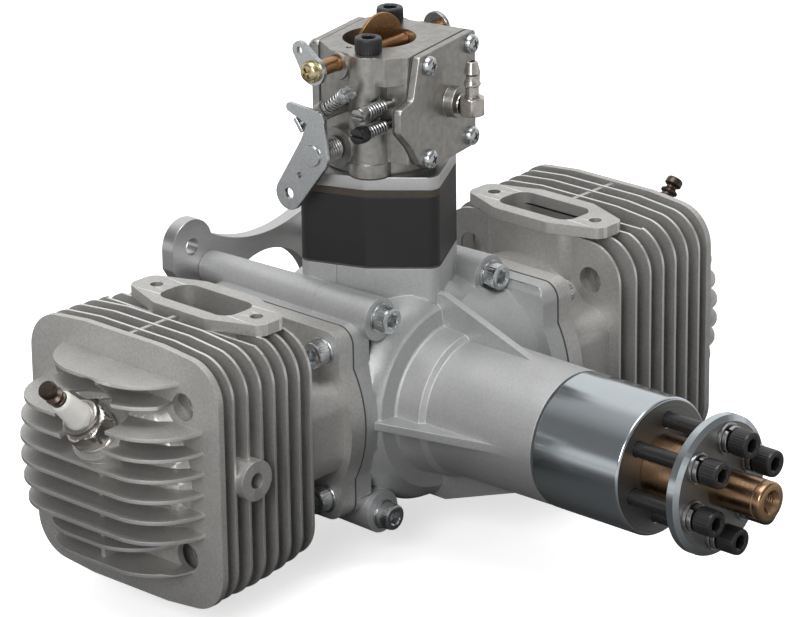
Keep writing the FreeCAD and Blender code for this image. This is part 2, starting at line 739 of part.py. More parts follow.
def reed_petals():
    """Two thin springy leaves lying on the slopes."""
    petals = []
    half_v = DUCT_V / 2 - 2
    half_u = DUCT_U / 2 - 1
    slope = math.atan2(half_u - 0.8, REED_DEPTH)
    for sign in (-1, 1):
        leaf = Part.makeBox(0.4, 2 * half_v, REED_DEPTH - 3, Vector(0.05, -half_v, -REED_DEPTH + 2))
        leaf.rotate(Vector(0, 0, 0), Vector(0, 1, 0), math.degrees(slope))
        leaf.translate(Vector(half_u, 0, STACK_Z))
        if sign < 0:
            leaf.rotate(Vector(0, 0, 0), Vector(0, 0, 1), 180)
        petals.append(yawed(leaf, STACK_YAW))
    return group(petals)


# Carburettor

def at_carb(shape, degrees):
    """Turn a carburettor piece about its bore and carry it to the bore's place."""
    return yawed(shape, degrees, CARB_X)


def carb_bore():
    """The flared throat: choke bore, venturi and throttle bore."""
    foot = ADAPTER_TOP
    profile = [(0, foot), (THROTTLE_BORE_R, foot), (THROTTLE_BORE_R, THROTTLE_Z + 6),
               (VENTURI_R, THROTTLE_Z + 11),
               (CHOKE_BORE_R, CHOKE_Z - 8), (CHOKE_BORE_R, CARB_TOP), (0, CARB_TOP)]
    return lathe(profile, (CARB_X, 0, 0), (0, 0, 1))


def carb_flange(start, height):
    """The round foot with a lug at each screw."""
    foot = rod(18.0, height, (CARB_X, 0, start), (0, 0, 1))
    lugs = [rod(6.6, height, (x, y, start), (0, 0, 1)) for x, y in carb_screw_places()]
    strap = Part.makeBox(2 * SCREW_REACH, 13.2, height, Vector(-SCREW_REACH, -6.6, start))
    between = Part.makeBox(80, FRONT_V + REAR_V, height, Vector(-40, -FRONT_V, start))
    return built_up(foot, lugs + [at_carb(strap, SCREW_YAW)]).common(at_carb(between, CARB_YAW))


def carb_casting():
    """The block between the covers: a wide deck over a body set back on the lever side."""
    start = ADAPTER_TOP + SEAL + CARB_FLANGE
    deck = [(-12.0, REAR_V), (-18.8, 6.5), (-20.0, -3.0), (-20.0, -13.5), (-14.0, -FRONT_V),
            (BODY_U, -FRONT_V),
            (BODY_U, 12.0), (16.0, REAR_V)]
    block = [(-12.0, REAR_V), (-15.5, 6.5), (-15.5, -FRONT_V), (BODY_U, -FRONT_V), (BODY_U, 12.0),
             (16.0, REAR_V)]
    top = lifted(prism(rounded(deck, 0.8), DECK), CARB_TOP - DECK)
    low = lifted(prism(rounded(block, 0.8), CARB_TOP - start), start)
    return at_carb(top.fuse(low), CARB_YAW)


def carb_bosses():
    """Round bosses for the shafts, the ear for the idle screw and the columns for the long screws."""
    ear_x, ear_y, ear_z = IDLE["at"]
    foot = ADAPTER_TOP + SEAL
    ear_back = [ear_x, ear_y - 3.0 * IDLE["aim"][1], ear_z - 3.0 * IDLE["aim"][2]]
    arm = Part.makeBox(-ear_x - 12, 5.2, 3.0, Vector(ear_x, -2.6, -3.0))
    arm.rotate(Vector(0, 0, 0), Vector(1, 0, 0), math.degrees(math.atan2(-IDLE["aim"][1], IDLE["aim"][2])))
    arm.translate(Vector(0, ear_y, ear_z))
    shafts = [rod(6.4, 18, (SPRING_END_X + 0.3, 0, THROTTLE_Z), (1, 0, 0)),
              rod(4.4, 12, (-20.5, 0, CHOKE_Z - 1.0), (1, 0, 0)),
              rod(4.4, 12, (9.5, 0, CHOKE_Z - 1.0), (1, 0, 0)),
              rod(4.6, 9, (13.0, 0, THROTTLE_Z), (1, 0, 0)),
              rod(3.0, 3.0, ear_back, IDLE["aim"]), arm]
    rise = CARB_TOP - foot - CARB_FLANGE / 2
    columns = [rod(6.4, rise, (x, y, CARB_TOP - rise), (0, 0, 1)) for x, y in carb_screw_places()]
    return columns + [at_carb(shaft, SHAFT_YAW) for shaft in shafts]


def carb_cuts():
    """The throat, the shaft and screw holes and the places the needles' springs sit in."""
    foot = ADAPTER_TOP + SEAL
    cuts = [carb_bore()]
    for x, y in carb_screw_places():
        cuts.append(rod(CLEAR_R, CARB_TOP - foot, (x, y, foot), (0, 0, 1)))
    for radius, z in ((CHOKE_SHAFT_R, CHOKE_Z), (THROTTLE_SHAFT_R, THROTTLE_Z)):
        cuts.append(at_carb(rod(radius + FIT, 90, (-45, 0, z), (1, 0, 0)), SHAFT_YAW))
    cuts.append(at_carb(rod(0.9, 3.5, (-14.1, 0.4, CARB_TOP - 3.5), (0, 0, 1)), SHAFT_YAW))
    for u, v, z, sign in cover_screw_places():
        cuts.append(at_carb(rod(1.5, 7, (u, v, z), (0, -sign, 0)), CARB_YAW))
    for place in (HIGH, LOW):
        x, y, z = place["at"]
        cuts.append(at_carb(rod(1.3, 14, (x + 12, y, z), (-1, 0, 0)), SHAFT_YAW))
        cuts.append(at_carb(rod(3.2, 14, (x, y, z), (-1, 0, 0)), SHAFT_YAW))
    x, y, z = IDLE["at"]
    aim = IDLE["aim"]
    cuts.append(at_carb(rod(1.3, 14, (x, y - 12 * aim[1], z - 12 * aim[2]), aim), SHAFT_YAW))
    return cuts


def carb_body():
    """The die-cast body."""
    body = built_up(carb_casting(), carb_bosses() + [carb_flange(ADAPTER_TOP + SEAL, CARB_FLANGE)])
    return cut_down(body, carb_cuts())


def cover_screw_places():
    """The cover screws as (u, v, z, side), four in front (-1) and four behind (+1)."""
    places = []
    for du, dz in corners(COVER_SCREW_HALF_U, COVER_SCREW_HALF_Z):
        places.append((COVER_SCREW_U + du, -FRONT_V, COVER_SCREW_Z + dz, -1))
    for du, dz in corners(REAR_COVER_HALF_U, REAR_COVER_HALF_Z):
        places.append((REAR_COVER_U + du, REAR_V, REAR_COVER_Z + dz, 1))
    return places


def front_outline():
    """The front cover, as (u, z): square on one side, drawn out to a lug on the other."""
    low, high = COVER_SCREW_Z - COVER_SCREW_HALF_Z - COVER_LIP, COVER_SCREW_Z + COVER_SCREW_HALF_Z + COVER_LIP
    left = COVER_SCREW_U - COVER_SCREW_HALF_U - COVER_LIP
    right = COVER_SCREW_U + COVER_SCREW_HALF_U + COVER_LIP
    tip = left - COVER_LUG
    return [(left - 1.0, high), (left - 5.0, COVER_SCREW_Z + 6.0), (tip, COVER_SCREW_Z + 4.8),
            (tip, COVER_SCREW_Z - 2.6), (left - 6.2, COVER_SCREW_Z - 9.0), (left - 1.0, low + 3.0),
            (left + 4.5, low), (right, low), (right, high)]


def rear_outline():
    """The rear cover, as (u, z)."""
    low, high = REAR_COVER_Z - REAR_COVER_HALF_Z - COVER_LIP, REAR_COVER_Z + REAR_COVER_HALF_Z + COVER_LIP
    left, right = REAR_COVER_U - REAR_COVER_HALF_U - COVER_LIP, REAR_COVER_U + REAR_COVER_HALF_U + COVER_LIP
    return [(left, low), (right, low), (right, high), (left, high)]


def cover_plate(sign, lift, thickness):
    """A slab with a cover's outline, its inner face a given height off the body."""
    front, rear = (front_outline(), -FRONT_V - lift), (rear_outline(), REAR_V + lift + thickness)
    outline, start = front if sign < 0 else rear
    slab = prism(rounded(outline, 1.6), thickness)
    slab.rotate(Vector(0, 0, 0), Vector(1, 0, 0), 90)
    slab.translate(Vector(0, start, 0))
    places = [(u, v, z) for u, v, z, side in cover_screw_places() if side == sign]
    return cut_down(slab, [rod(1.6, lift + thickness + 1, place, (0, sign, 0)) for place in places])


def cover_gaskets():
    """The diaphragm and gasket behind each cover."""
    return group([at_carb(cover_plate(sign, 0, COVER_GASKET), CARB_YAW) for sign in (-1, 1)])


def nipple_place():
    """Where the fuel inlet stands on the front cover's face."""
    return COVER_SCREW_U + 0.9, -FRONT_V - COVER_GASKET - COVER, COVER_SCREW_Z - 0.6


def front_cover():
    """The cover with the fuel inlet, on the propeller side."""
    u, v, z = nipple_place()
    pieces = [rod(5.0, NIPPLE_BOSS, (u, v, z + 0.4), (0, -1, 0))]
    return at_carb(built_up(cover_plate(-1, COVER_GASKET, COVER), pieces), CARB_YAW)


def rear_cover():
    """The plain cover on the rear side, with a vent hole."""
    vent = rod(1.2, COVER + 1, (REAR_COVER_U, REAR_V, REAR_COVER_Z), (0, 1, 0))
    return at_carb(cover_plate(1, COVER_GASKET, COVER).cut(vent), CARB_YAW)


def cover_screws():
    """Pan-head screws, four to a cover."""
    screws = []
    for u, v, z, sign in cover_screw_places():
        seat = v + sign * (COVER_GASKET + COVER)
        profile = [(0, -8), (1.45, -8), (1.45, 0), (3.1, 0), (2.9, 1.2), (1.6, 2.2), (0, 2.4)]
        screws.append(at_carb(lathe(profile, (u, seat, z), (0, sign, 0)), CARB_YAW))
    return group(screws)


def fuel_nipple():
    """An elbow: six-sided body against the cover and an upright barb."""
    u, v, z = nipple_place()
    centre = v - NIPPLE_BOSS - 0.6 - NIPPLE_HEX / 2
    body = prism(hexagon(NIPPLE_HEX), 5.8)
    body.translate(Vector(u, centre, z - 2.9))
    profile = [(0, 0), (2.4, 0), (2.4, 4.6), (2.9, 5.0), (2.2, 6.6), (2.2, 7.8), (2.7, 8.2),
               (2.0, 11.5), (1.0, 11.5),
               (1.0, 2), (0, 2)]
    barb = lathe(profile, (u, centre, z + 2.9), (0, 0, 1))
    stub = rod(2.6, 0.9, (u, v - NIPPLE_BOSS - 0.9, z), (0, 1, 0))
    return at_carb(built_up(body, [barb, stub]), CARB_YAW)


def side_plate():
    """A thin round plate standing out beside the body, behind the front cover."""
    disc = rod(6.8, 1.2, (23.2, -FRONT_V + 1.4, COVER_SCREW_Z + 0.6), (0, -1, 0))
    beside = Part.makeBox(30, 20, 40, Vector(BODY_U, -FRONT_V, COVER_SCREW_Z - 20))
    return at_carb(disc.common(beside), CARB_YAW)


def carb_screws():
    """The two black screws through the whole stack."""
    length = CARB_TOP - STACK_Z + 10
    return group([aimed(cap_screw(length), (x, y, CARB_TOP), (0, 0, 1)) for x, y in carb_screw_places()])


def butterfly(radius, thickness, upright):
    """A round plate about its shaft, upright when open or flat when shut."""
    plate = Part.makeCylinder(radius, thickness, Vector(0, 0, -thickness / 2))
    if upright:
        plate.rotate(Vector(0, 0, 0), Vector(1, 0, 0), 90)
    return plate


def slotted_shaft(radius, start, stop, z, plate_r, upright):
    """A round shaft with a slot for its butterfly."""
    bar = rod(radius, stop - start, (start, 0, 0), (1, 0, 0))
    return at_carb(lifted(bar.cut(butterfly(plate_r + FIT, 1.0 + 2 * FIT, upright)), z), SHAFT_YAW)


def choke_shaft():
    """The choke shaft, standing out on both sides of the body."""
    return slotted_shaft(CHOKE_SHAFT_R, CHOKE_LEVER_X, 27.0, CHOKE_Z, CHOKE_BORE_R - GAP, True)


def choke_plate():
    """The choke butterfly, standing open."""
    return at_carb(lifted(butterfly(CHOKE_BORE_R - GAP, 1.0, True), CHOKE_Z), SHAFT_YAW)


def lever(points, widths, thickness):
    """A flat lever through (y, z) points, round-ended, as a chain of tapered links."""
    links = []
    for index in range(len(points) - 1):
        start, stop = Vector(*points[index], 0), Vector(*points[index + 1], 0)
        across = Vector(start.y - stop.y, stop.x - start.x, 0)
        across.normalize()
        near, far = across * widths[index], across * widths[index + 1]
        link = Part.Face(Part.makePolygon([start + near, stop + far, stop - far, start - near, start + near]))
        links.append(link.extrude(Vector(0, 0, thickness)))
        links.append(Part.makeCylinder(widths[index + 1], thickness, stop))
    return built_up(Part.makeCylinder(widths[0], thickness, Vector(*points[0], 0)), links)


def choke_lever():
    """The short zinc lever on the right-hand end of the choke shaft."""
    arm = lever([(0, 0), (5.2, 5.8)], [4.6, 2.9], 1.6)
    arm = arm.cut(Part.makeCylinder(1.1, 1.6, Vector(5.2, 5.8, 0)))
    return at_carb(lifted(across_x(arm, CHOKE_LEVER_X - 1.6), CHOKE_Z), SHAFT_YAW)


def choke_lever_screw():
    """The brass pan-head screw that holds the lever."""
    profile = [(0, 0), (3.4, 0), (3.2, 1.4), (2.0, 2.3), (0, 2.6)]
    return at_carb(lathe(profile, (CHOKE_LEVER_X - 1.6, 0, CHOKE_Z), (-1, 0, 0)), SHAFT_YAW)


def choke_disc():
    """The retaining disc on the left-hand end of the choke shaft."""
    return at_carb(rod(5.2, 1.6, (27.0, 0, CHOKE_Z), (1, 0, 0)), SHAFT_YAW)


def throttle_shaft():
    """The throttle shaft, with its lever end standing out on the right."""
    return slotted_shaft(THROTTLE_SHAFT_R, LEVER_X, 23.0, THROTTLE_Z, THROTTLE_BORE_R - GAP, False)


def throttle_plate():
    """The throttle butterfly, shut."""
    return at_carb(lifted(butterfly(THROTTLE_BORE_R - GAP, 1.0, False), THROTTLE_Z), SHAFT_YAW)


def throttle_lever():
    """The cranked zinc lever, with a tab bent in to meet the idle screw."""
    upper = lever([(0, 0), (-2.0, 11.5), (9.0, 14.0)], [6.2, 3.2, 1.5], 1.6)
    lower = lever([(0, 0), (10.2, -14.6)], [6.2, 5.2], 1.6)
    holes = [Part.makeCylinder(1.0, 1.6, Vector(5.3, -7.6, 0)),
             Part.makeCylinder(1.7, 1.6, Vector(10.0, -14.4, 0))]
    arm = across_x(cut_down(upper.fuse(lower), holes), LEVER_X - 1.6)
    boss = rod(3.4, 0.8, (LEVER_X - 1.6, 0, 0), (-1, 0, 0))
    x, y, z = IDLE["at"]
    tab = Part.makeBox(x - LEVER_X + 5.0, 5.0, 1.4, Vector(LEVER_X - 1.6, -2.5, -IDLE["tip"] - GAP - 1.4))
    tab.rotate(Vector(0, 0, 0), Vector(1, 0, 0), math.degrees(math.atan2(-IDLE["aim"][1], IDLE["aim"][2])))
    tab.translate(Vector(0, y, z - THROTTLE_Z))
    return at_carb(lifted(built_up(arm, [boss, tab]), THROTTLE_Z), SHAFT_YAW)


def ridged(inner, outer, start, stop, count):
    """The half-outline of a close coil: a tube with a rounded ridge for each turn."""
    pitch = (stop - start) / count
    outline = [(inner, start)]
    for index in range(count):
        low = start + index * pitch
        outline += [(outer - 0.4, low), (outer, low + pitch * 0.3), (outer, low + pitch * 0.6)]
        outline.append((outer - 0.4, low + pitch * 0.95))
    return outline + [(inner, stop)]


def throttle_spring():
    """The close-wound return spring between the body and the lever."""
    outline = ridged(THROTTLE_SHAFT_R + GAP, 4.0, 0.2, SPRING_END_X - LEVER_X, 9)
    return at_carb(lathe(outline, (LEVER_X, 0, THROTTLE_Z), (1, 0, 0)), SHAFT_YAW)


# Adjusting screws: where each leaves the casting, which way it points, and where its head starts

IDLE = {"at": (-27.3, -1.6, 96.7), "aim": (0, -0.8, 0.6), "tip": 8.0, "reach": 9.0}
HIGH = {"at": (-16.4, -15.4, 97.5), "aim": (-1, 0, 0), "tip": 9.0, "reach": 8.4}
LOW = {"at": (-16.4, -15.4, 91.0), "aim": (-1, 0, 0), "tip": 9.0, "reach": 8.4}


def adjuster(place, head_r, head):
    """A slim screw in the body and a slotted head outside."""
    reach, tip = place["reach"], place["tip"]
    bar = lathe([(0, -tip), (1.0, -tip), (1.25, 1 - tip), (1.25, reach), (head_r, reach),
                 (head_r, reach + head),
                 (0, reach + head)], (0, 0, 0), (0, 0, 1))
    slot = Part.makeBox(0.8, 2 * head_r, 1.0, Vector(-0.4, -head_r, reach + head - 1.0))
    return at_carb(aimed(bar.cut(slot), place["at"], place["aim"]), SHAFT_YAW)


def coil(place, outer, count):
    """A spring drawn as a stack of turns between the casting and a screw's head."""
    outline = ridged(1.25 + GAP, outer, 0.05, place["reach"] - 0.05, count)
    return at_carb(lathe(outline, place["at"], place["aim"]), SHAFT_YAW)


# Propeller drive

def front_shaft():
    """The propeller shaft in its two bearings, up to the first crank web."""
    inner = -CHAMBER_HALF - 1.0
    front = DRIVER_FRONT - 2
    collar = SHAFT_R + 2.5
    profile = [(0, -inner), (collar, -inner), (collar, -FACE_Y - 0.3), (SHAFT_R, -FACE_Y - 0.3),
               (SHAFT_R, -front), (0, -front)]
    return lathe(profile, (0, 0, 0), (0, -1, 0))


def bearings():
    """Sealed ball bearings: two in the nose and one behind the crank."""
    rings = []
    for start in (FACE_Y - BEARING_W, NOSE_Y + 5, CHAMBER_HALF):
        rings.append(tube(BEARING_R, SHAFT_R + FIT, BEARING_W, (0, start, 0), (0, 1, 0)))
    return group(rings)


def oil_seal():
    """The lip seal in front of the nose bearing."""
    return lathe([(SHAFT_R + FIT, 0), (BEARING_R, 0), (BEARING_R, 4.8), (SHAFT_R + 1.5, 4.8),
                  (SHAFT_R + FIT, 3.0)],
                 (0, NOSE_Y + 5 - 4.85, 0), (0, 1, 0))


def around_prop(shape_maker):
    """Copies of a shape at the six propeller bolts."""
    shapes = []
    for index in range(PROP_BOLTS):
        turn = math.radians(PROP_TURN + 360 / PROP_BOLTS * index)
        shapes.append(shape_maker(PROP_PCD / 2 * math.sin(turn), PROP_PCD / 2 * math.cos(turn)))
    return shapes


def prop_driver():
    """The polished drive drum."""
    length = DRIVER_BACK - DRIVER_FRONT
    edge = DRIVER_R - 0.6
    profile = [(SHAFT_R + FIT, 0), (SHAFT_R + 4, 0), (SHAFT_R + 4, 0.1), (edge, 0.1), (DRIVER_R, 0.7),
               (DRIVER_R, length - 0.6), (edge, length), (SHAFT_R + FIT, length)]
    drum = lathe(profile, (0, DRIVER_BACK, 0), (0, -1, 0))
    return drum.cut(around_prop(lambda x, z: rod(TAP_R, 16, (x, DRIVER_FRONT, z), (0, 1, 0))))


def hub_stud():
    """The bronze hub and stud that centre the propeller, with a tapped end."""
    base = -DRIVER_FRONT
    step = -WASHER_BACK - 0.05
    end = -STUD_FRONT
    profile = [(SHAFT_R + FIT, base), (HUB_R, base), (HUB_R, step), (STUD_R, step), (STUD_R, end - 3),
               (STUD_R - 0.3, end - 2.6), (STUD_R, end - 2.2), (STUD_R, end - 0.8), (STUD_R - 0.8, end),
               (STUD_HOLE_R + 0.9, end), (STUD_HOLE_R, end - 1), (STUD_HOLE_R, end - 14), (0, end - 14),
               (0, base + 2.05), (SHAFT_R + FIT, base + 2.05)]
    return lathe(profile, (0, 0, 0), (0, -1, 0))


def prop_washer():
    """The machined washer that clamps the propeller."""
    length = WASHER_BACK - WASHER_FRONT
    profile = [(STUD_R + FIT, 0), (WASHER_R - 0.3, 0), (WASHER_R, 0.3), (WASHER_R, length - 1.0),
               (WASHER_R - 1.8, length), (STUD_R + FIT, length)]
    disc = lathe(profile, (0, WASHER_BACK, 0), (0, -1, 0))
    return disc.cut(around_prop(lambda x, z: rod(CLEAR_R, length, (x, WASHER_FRONT, z), (0, 1, 0))))


def prop_bolts():
    """Six long black socket screws."""
    seat = WASHER_FRONT - FLAT_WASHER - SPRING_WASHER
    length = DRIVER_FRONT - seat + 14
    return group(around_prop(lambda x, z: aimed(cap_screw(length, head=6.3), (x, seat, z), (0, -1, 0))))


def lock_washers():
    """A flat washer and a split spring washer under each propeller screw."""
    rings = around_prop(lambda x, z: tube(5.0, CLEAR_R, FLAT_WASHER, (x, WASHER_FRONT, z), (0, -1, 0)))
    springs = around_prop(lambda x, z: split_washer(x, z))
    return group(rings + springs)


def split_washer(x, z):
    """One spring washer with its cut."""
    ring = tube(4.4, CLEAR_R, SPRING_WASHER, (0, 0, 0), (0, 0, 1))
    notch = Part.makeBox(3, 1.0, SPRING_WASHER, Vector(CLEAR_R - 0.5, -0.5, 0))
    return aimed(ring.cut(notch), (x, WASHER_FRONT - FLAT_WASHER, z), (0, -1, 0))


# Crank, rods and pistons, stopped at the top of the stroke

def crank_throws():
    """The built-up crank between the bearings: webs, two pins and the rear journal."""
    web = CHAMBER_R - 1.5
    pieces = [rod(web, 5, (0, -22.4, 0), (0, 1, 0)), rod(web, 10.4, (0, -5.2, 0), (0, 1, 0)),
              rod(web, 5, (0, 17.4, 0), (0, 1, 0)), rod(SHAFT_R, BEARING_W + 0.2, (0, 22.4, 0), (0, 1, 0))]
    pieces.append(rod(8, 14, (CRANK_R, -18, 0), (0, 1, 0)))
    pieces.append(rod(8, 14, (-CRANK_R, 4, 0), (0, 1, 0)))
    return joined(*pieces)


def connecting_rod(side):
    """A rod from the crank pin to the wrist pin."""
    half = 5.0
    beam = Part.makeBox(ROD_LENGTH, 5, 8, Vector(CRANK_R, -2.5, -4))
    big = rod(12.5, 2 * half, (CRANK_R, -half, 0), (0, 1, 0))
    small = rod(8, 2 * half, (PIN_X, -half, 0), (0, 1, 0))
    shape = joined(beam, big, small)
    eyes = [rod(8 + FIT, 2 * half, (CRANK_R, -half, 0), (0, 1, 0)),
            rod(5.5 + FIT, 2 * half, (PIN_X, -half, 0), (0, 1, 0))]
    return on_side(shape.cut(eyes), side)


def piston(side):
    """A piston with a hollow skirt, pin bosses and two ring grooves."""
    radius = BORE / 2 - FIT
    foot = CROWN_X - 30
    profile = [(0, CROWN_X), (0, CROWN_X - 5), (radius - 4, CROWN_X - 5), (radius - 2.5, foot),
               (radius, foot)]
    for groove in (CROWN_X - 8.5, CROWN_X - 4.5):
        profile += [(radius, groove - 1.5), (radius - 2, groove - 1.5), (radius - 2, groove),
                    (radius, groove)]
    profile += [(radius, CROWN_X - 0.5), (radius - 0.5, CROWN_X)]
    skirt = lathe(profile, (0, 0, 0), (1, 0, 0))
    bosses = []
    for sign in (-1, 1):
        boss = rod(8, 14, (PIN_X, sign * (half_boss()), 0), (0, sign, 0))
        bosses.append(boss.common(rod(radius - 1, 40, (CROWN_X - 35, 0, 0), (1, 0, 0))))
    shape = skirt.fuse(bosses).cut(rod(5.5 + FIT, 60, (PIN_X, -30, 0), (0, 1, 0)))
    return on_side(shape, side)


def half_boss():
    """Half the gap between the pin bosses."""
    return 5.6


def piston_rings(side):
    """Two split rings in their grooves."""
    radius = BORE / 2 - 0.02
    rings = []
    for groove in (CROWN_X - 8.5, CROWN_X - 4.5):
        ring = tube(radius, BORE / 2 - 1.9, 1.4, (groove - 1.45, 0, 0), (1, 0, 0))
        gap = Part.makeBox(1.6, 4, 0.4, Vector(groove - 1.5, BORE / 2 - 3, -0.2))
        rings.append(on_side(ring.cut(gap), side))
    return rings


def wrist_pin(side):
    """The pin between rod and piston."""
    half = BORE / 2 - 3
    return on_side(tube(5.5, 3.2, 2 * half, (PIN_X, -half, 0), (0, 1, 0)), side)


SIDES = {"left": 1, "right": -1}


def build():
    """Every node by name."""
    case = crankcase()
    nodes = {
        "front_case": front_case(case),
        "rear_case": rear_case(case),
        "rear_mount_plate": rear_mount_plate(),
        "mount_screws": mount_screws(),
        "case_bolts": case_bolts(),
        "base_gaskets": base_gaskets(),
        "cylinder_bolts": cylinder_bolts(),
        "intake_gasket": stack_layer(STACK_Z - GASKET, GASKET),
        "reed_block": reed_block(),
        "reed_cage": reed_cage(),
        "reed_petals": reed_petals(),
        "insulator_layer": stack_layer(BLOCK_TOP, LAYER),
        "adapter_plate": adapter_plate(),
        "carb_gasket": carb_gasket(),
        "carb_body": carb_body(),
        "cover_gaskets": cover_gaskets(),
        "front_cover": front_cover(),
        "rear_cover": rear_cover(),
        "cover_screws": cover_screws(),
        "fuel_nipple": fuel_nipple(),
        "carb_screws": carb_screws(),
        "choke_shaft": choke_shaft(),
        "choke_plate": choke_plate(),
        "choke_lever": choke_lever(),
        "choke_lever_screw": choke_lever_screw(),
        "choke_disc": choke_disc(),
        "throttle_shaft": throttle_shaft(),
        "throttle_plate": throttle_plate(),
        "throttle_lever": throttle_lever(),
        "throttle_spring": throttle_spring(),
        "high_needle": adjuster(HIGH, 2.3, 4.2),
        "high_spring": coil(HIGH, 2.3, 6),
        "low_needle": adjuster(LOW, 2.7, 4.6),
        "low_spring": coil(LOW, 2.3, 6),
        "idle_screw": adjuster(IDLE, 2.4, 3.5),
        "idle_spring": coil(IDLE, 2.4, 6),
        "side_plate": side_plate(),
        "front_shaft": front_shaft(),
        "bearings": bearings(),
        "oil_seal": oil_seal(),
        "prop_driver": prop_driver(),
        "hub_stud": hub_stud(),
        "prop_washer": prop_washer(),
        "prop_bolts": prop_bolts(),
        "lock_washers": lock_washers(),
        "crank_throws": crank_throws(),
        "connecting_rods": group([connecting_rod(side) for side in SIDES.values()]),
        "pistons": group([piston(side) for side in SIDES.values()]),
        "piston_rings": group([ring for side in SIDES.values() for ring in piston_rings(side)]),
        "wrist_pins": group([wrist_pin(side) for side in SIDES.values()]),
    }
    for name, side in SIDES.items():
        nodes[name + "_cylinder"] = on_side(cylinder(), side)
        nodes[name + "_plug_shell"] = plug_shell(side)
        nodes[name + "_plug_insulator"] = plug_insulator(side)
        nodes[name + "_plug_terminal"] = plug_terminal(side)
    return nodes


def adapter_plate():
    """The aluminium plate that carries the carburettor."""
    plate = stack_prism(LAYER_TOP, ADAPTER)
    plate = yawed(plate, STACK_YAW).cut(rod(THROTTLE_BORE_R, ADAPTER, (CARB_X, 0, LAYER_TOP), (0, 0, 1)))
    return plate.cut([rod(CLEAR_R, ADAPTER, (x, y, LAYER_TOP), (0, 0, 1)) for x, y in carb_screw_places()])


def carb_gasket():
    """The thin gasket under the carburettor's foot."""
    seal = carb_flange(ADAPTER_TOP, SEAL).cut(rod(THROTTLE_BORE_R, SEAL, (CARB_X, 0, ADAPTER_TOP), (0, 0, 1)))
    return seal.cut([rod(CLEAR_R, SEAL, (x, y, ADAPTER_TOP), (0, 0, 1)) for x, y in carb_screw_places()])


def main():
    """Build every node, move it to the mounting face and write it."""
    os.makedirs("parts", exist_ok=True)
    for name, shape in build().items():
        shape.translate(Vector(0, -MOUNT_TO_MID, 0))
        shape.exportStep("parts/" + name + ".step")
        print(name, len(shape.Solids), round(shape.Volume), shape.isValid())


main()
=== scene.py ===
"""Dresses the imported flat-twin model aircraft engine and stages it as in a studio photograph.

Lengths in the classes are millimetres about the middle of the crank, with X along the cylinders,
-Y towards the propeller and +Z up through the carburettor, as in the part's own source.
"""

import json
import logging
import math
from dataclasses import dataclass
from enum import Enum
from typing import Callable, Iterable, Optional, Sequence, Union

import bmesh
import bpy
from mathutils import Matrix, Vector

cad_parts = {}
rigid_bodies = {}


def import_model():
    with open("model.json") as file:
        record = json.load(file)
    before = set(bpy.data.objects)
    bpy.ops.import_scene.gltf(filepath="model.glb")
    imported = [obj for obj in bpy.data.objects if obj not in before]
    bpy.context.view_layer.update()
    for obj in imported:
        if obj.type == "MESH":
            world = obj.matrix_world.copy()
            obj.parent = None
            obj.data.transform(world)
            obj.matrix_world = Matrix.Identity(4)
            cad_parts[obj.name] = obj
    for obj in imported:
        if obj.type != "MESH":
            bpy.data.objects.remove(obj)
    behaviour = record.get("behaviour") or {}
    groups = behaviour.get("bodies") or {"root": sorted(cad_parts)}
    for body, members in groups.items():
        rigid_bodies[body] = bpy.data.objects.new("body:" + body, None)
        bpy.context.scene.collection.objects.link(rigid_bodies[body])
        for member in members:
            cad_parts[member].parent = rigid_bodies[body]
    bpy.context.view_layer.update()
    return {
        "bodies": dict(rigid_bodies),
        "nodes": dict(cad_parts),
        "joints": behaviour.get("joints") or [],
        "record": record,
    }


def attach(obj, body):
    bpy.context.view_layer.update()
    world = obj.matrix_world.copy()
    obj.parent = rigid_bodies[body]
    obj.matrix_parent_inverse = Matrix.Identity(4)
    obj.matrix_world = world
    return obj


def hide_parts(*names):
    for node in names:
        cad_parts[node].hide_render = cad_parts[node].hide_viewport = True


LOG = logging.getLogger("engine")
MM = 0.001
# Distances in millimetres that merge points, and the angle in degrees below which two faces are one
WELD = 0.0005
NODE_WELD = 0.002
FLAT_ANGLE = 0.6
# From the mounting face to the crank's middle, the cylinders' offset, and the carburettor's place and turns
MOUNT_TO_MID = 56.0
STAGGER = 11.0
CARB_X = 1.2
CARB_YAW = 12.0
SHAFT_YAW = 2.0
Z_AXIS = Vector((0.0, 0.0, 1.0))
WHITE = (1.0, 1.0, 1.0, 1.0)

Tree = bpy.types.NodeTree
Socket = bpy.types.NodeSocket
Piece = bpy.types.Object
Points = Sequence[tuple[float, float]]
Rule = Callable[[float], float]
Reach = Union[float, Rule]


class Side(Enum):
    """A cylinder's side of the crank, as seen from behind."""

    LEFT = 1
    RIGHT = -1


class Grain(Enum):
    """How a surface was made, which picks its fine texture."""

    SAND_CAST = "sand_cast"
    DIE_CAST = "die_cast"
    TURNED = "turned"
    MILLED = "milled"
    PLAIN = "plain"


# Node groups


def calc(tree: Tree, operation: str, first: object, second: object = None) -> Socket:
    """Add a Math node.

    Args:
        tree: the tree to add it to.
        operation: the node's operation.
        first: a socket or a number.
        second: a socket or a number, where the operation takes two.

    Returns:
        The node's output socket.
    """
    node = tree.nodes.new("ShaderNodeMath")
    node.operation = operation
    for index, value in enumerate((first, second)):
        if isinstance(value, Socket):
            tree.links.new(value, node.inputs[index])
        elif value is not None:
            node.inputs[index].default_value = value
    return node.outputs[0]


def noise(tree: Tree, vector: Socket, scale: float, detail: float, rough: float) -> Socket:
    """Add a Noise texture on a vector.

    Args:
        tree: the tree to add it to.
        vector: the coordinates.
        scale: the pattern's scale, in repeats a metre.
        detail: how many octaves.
        rough: how strongly the fine octaves count.

    Returns:
        The noise value's socket.
    """
    node = tree.nodes.new("ShaderNodeTexNoise")
    node.inputs["Scale"].default_value = scale
    node.inputs["Detail"].default_value = detail
    node.inputs["Roughness"].default_value = rough
    tree.links.new(vector, node.inputs["Vector"])
    return node.outputs["Fac"]


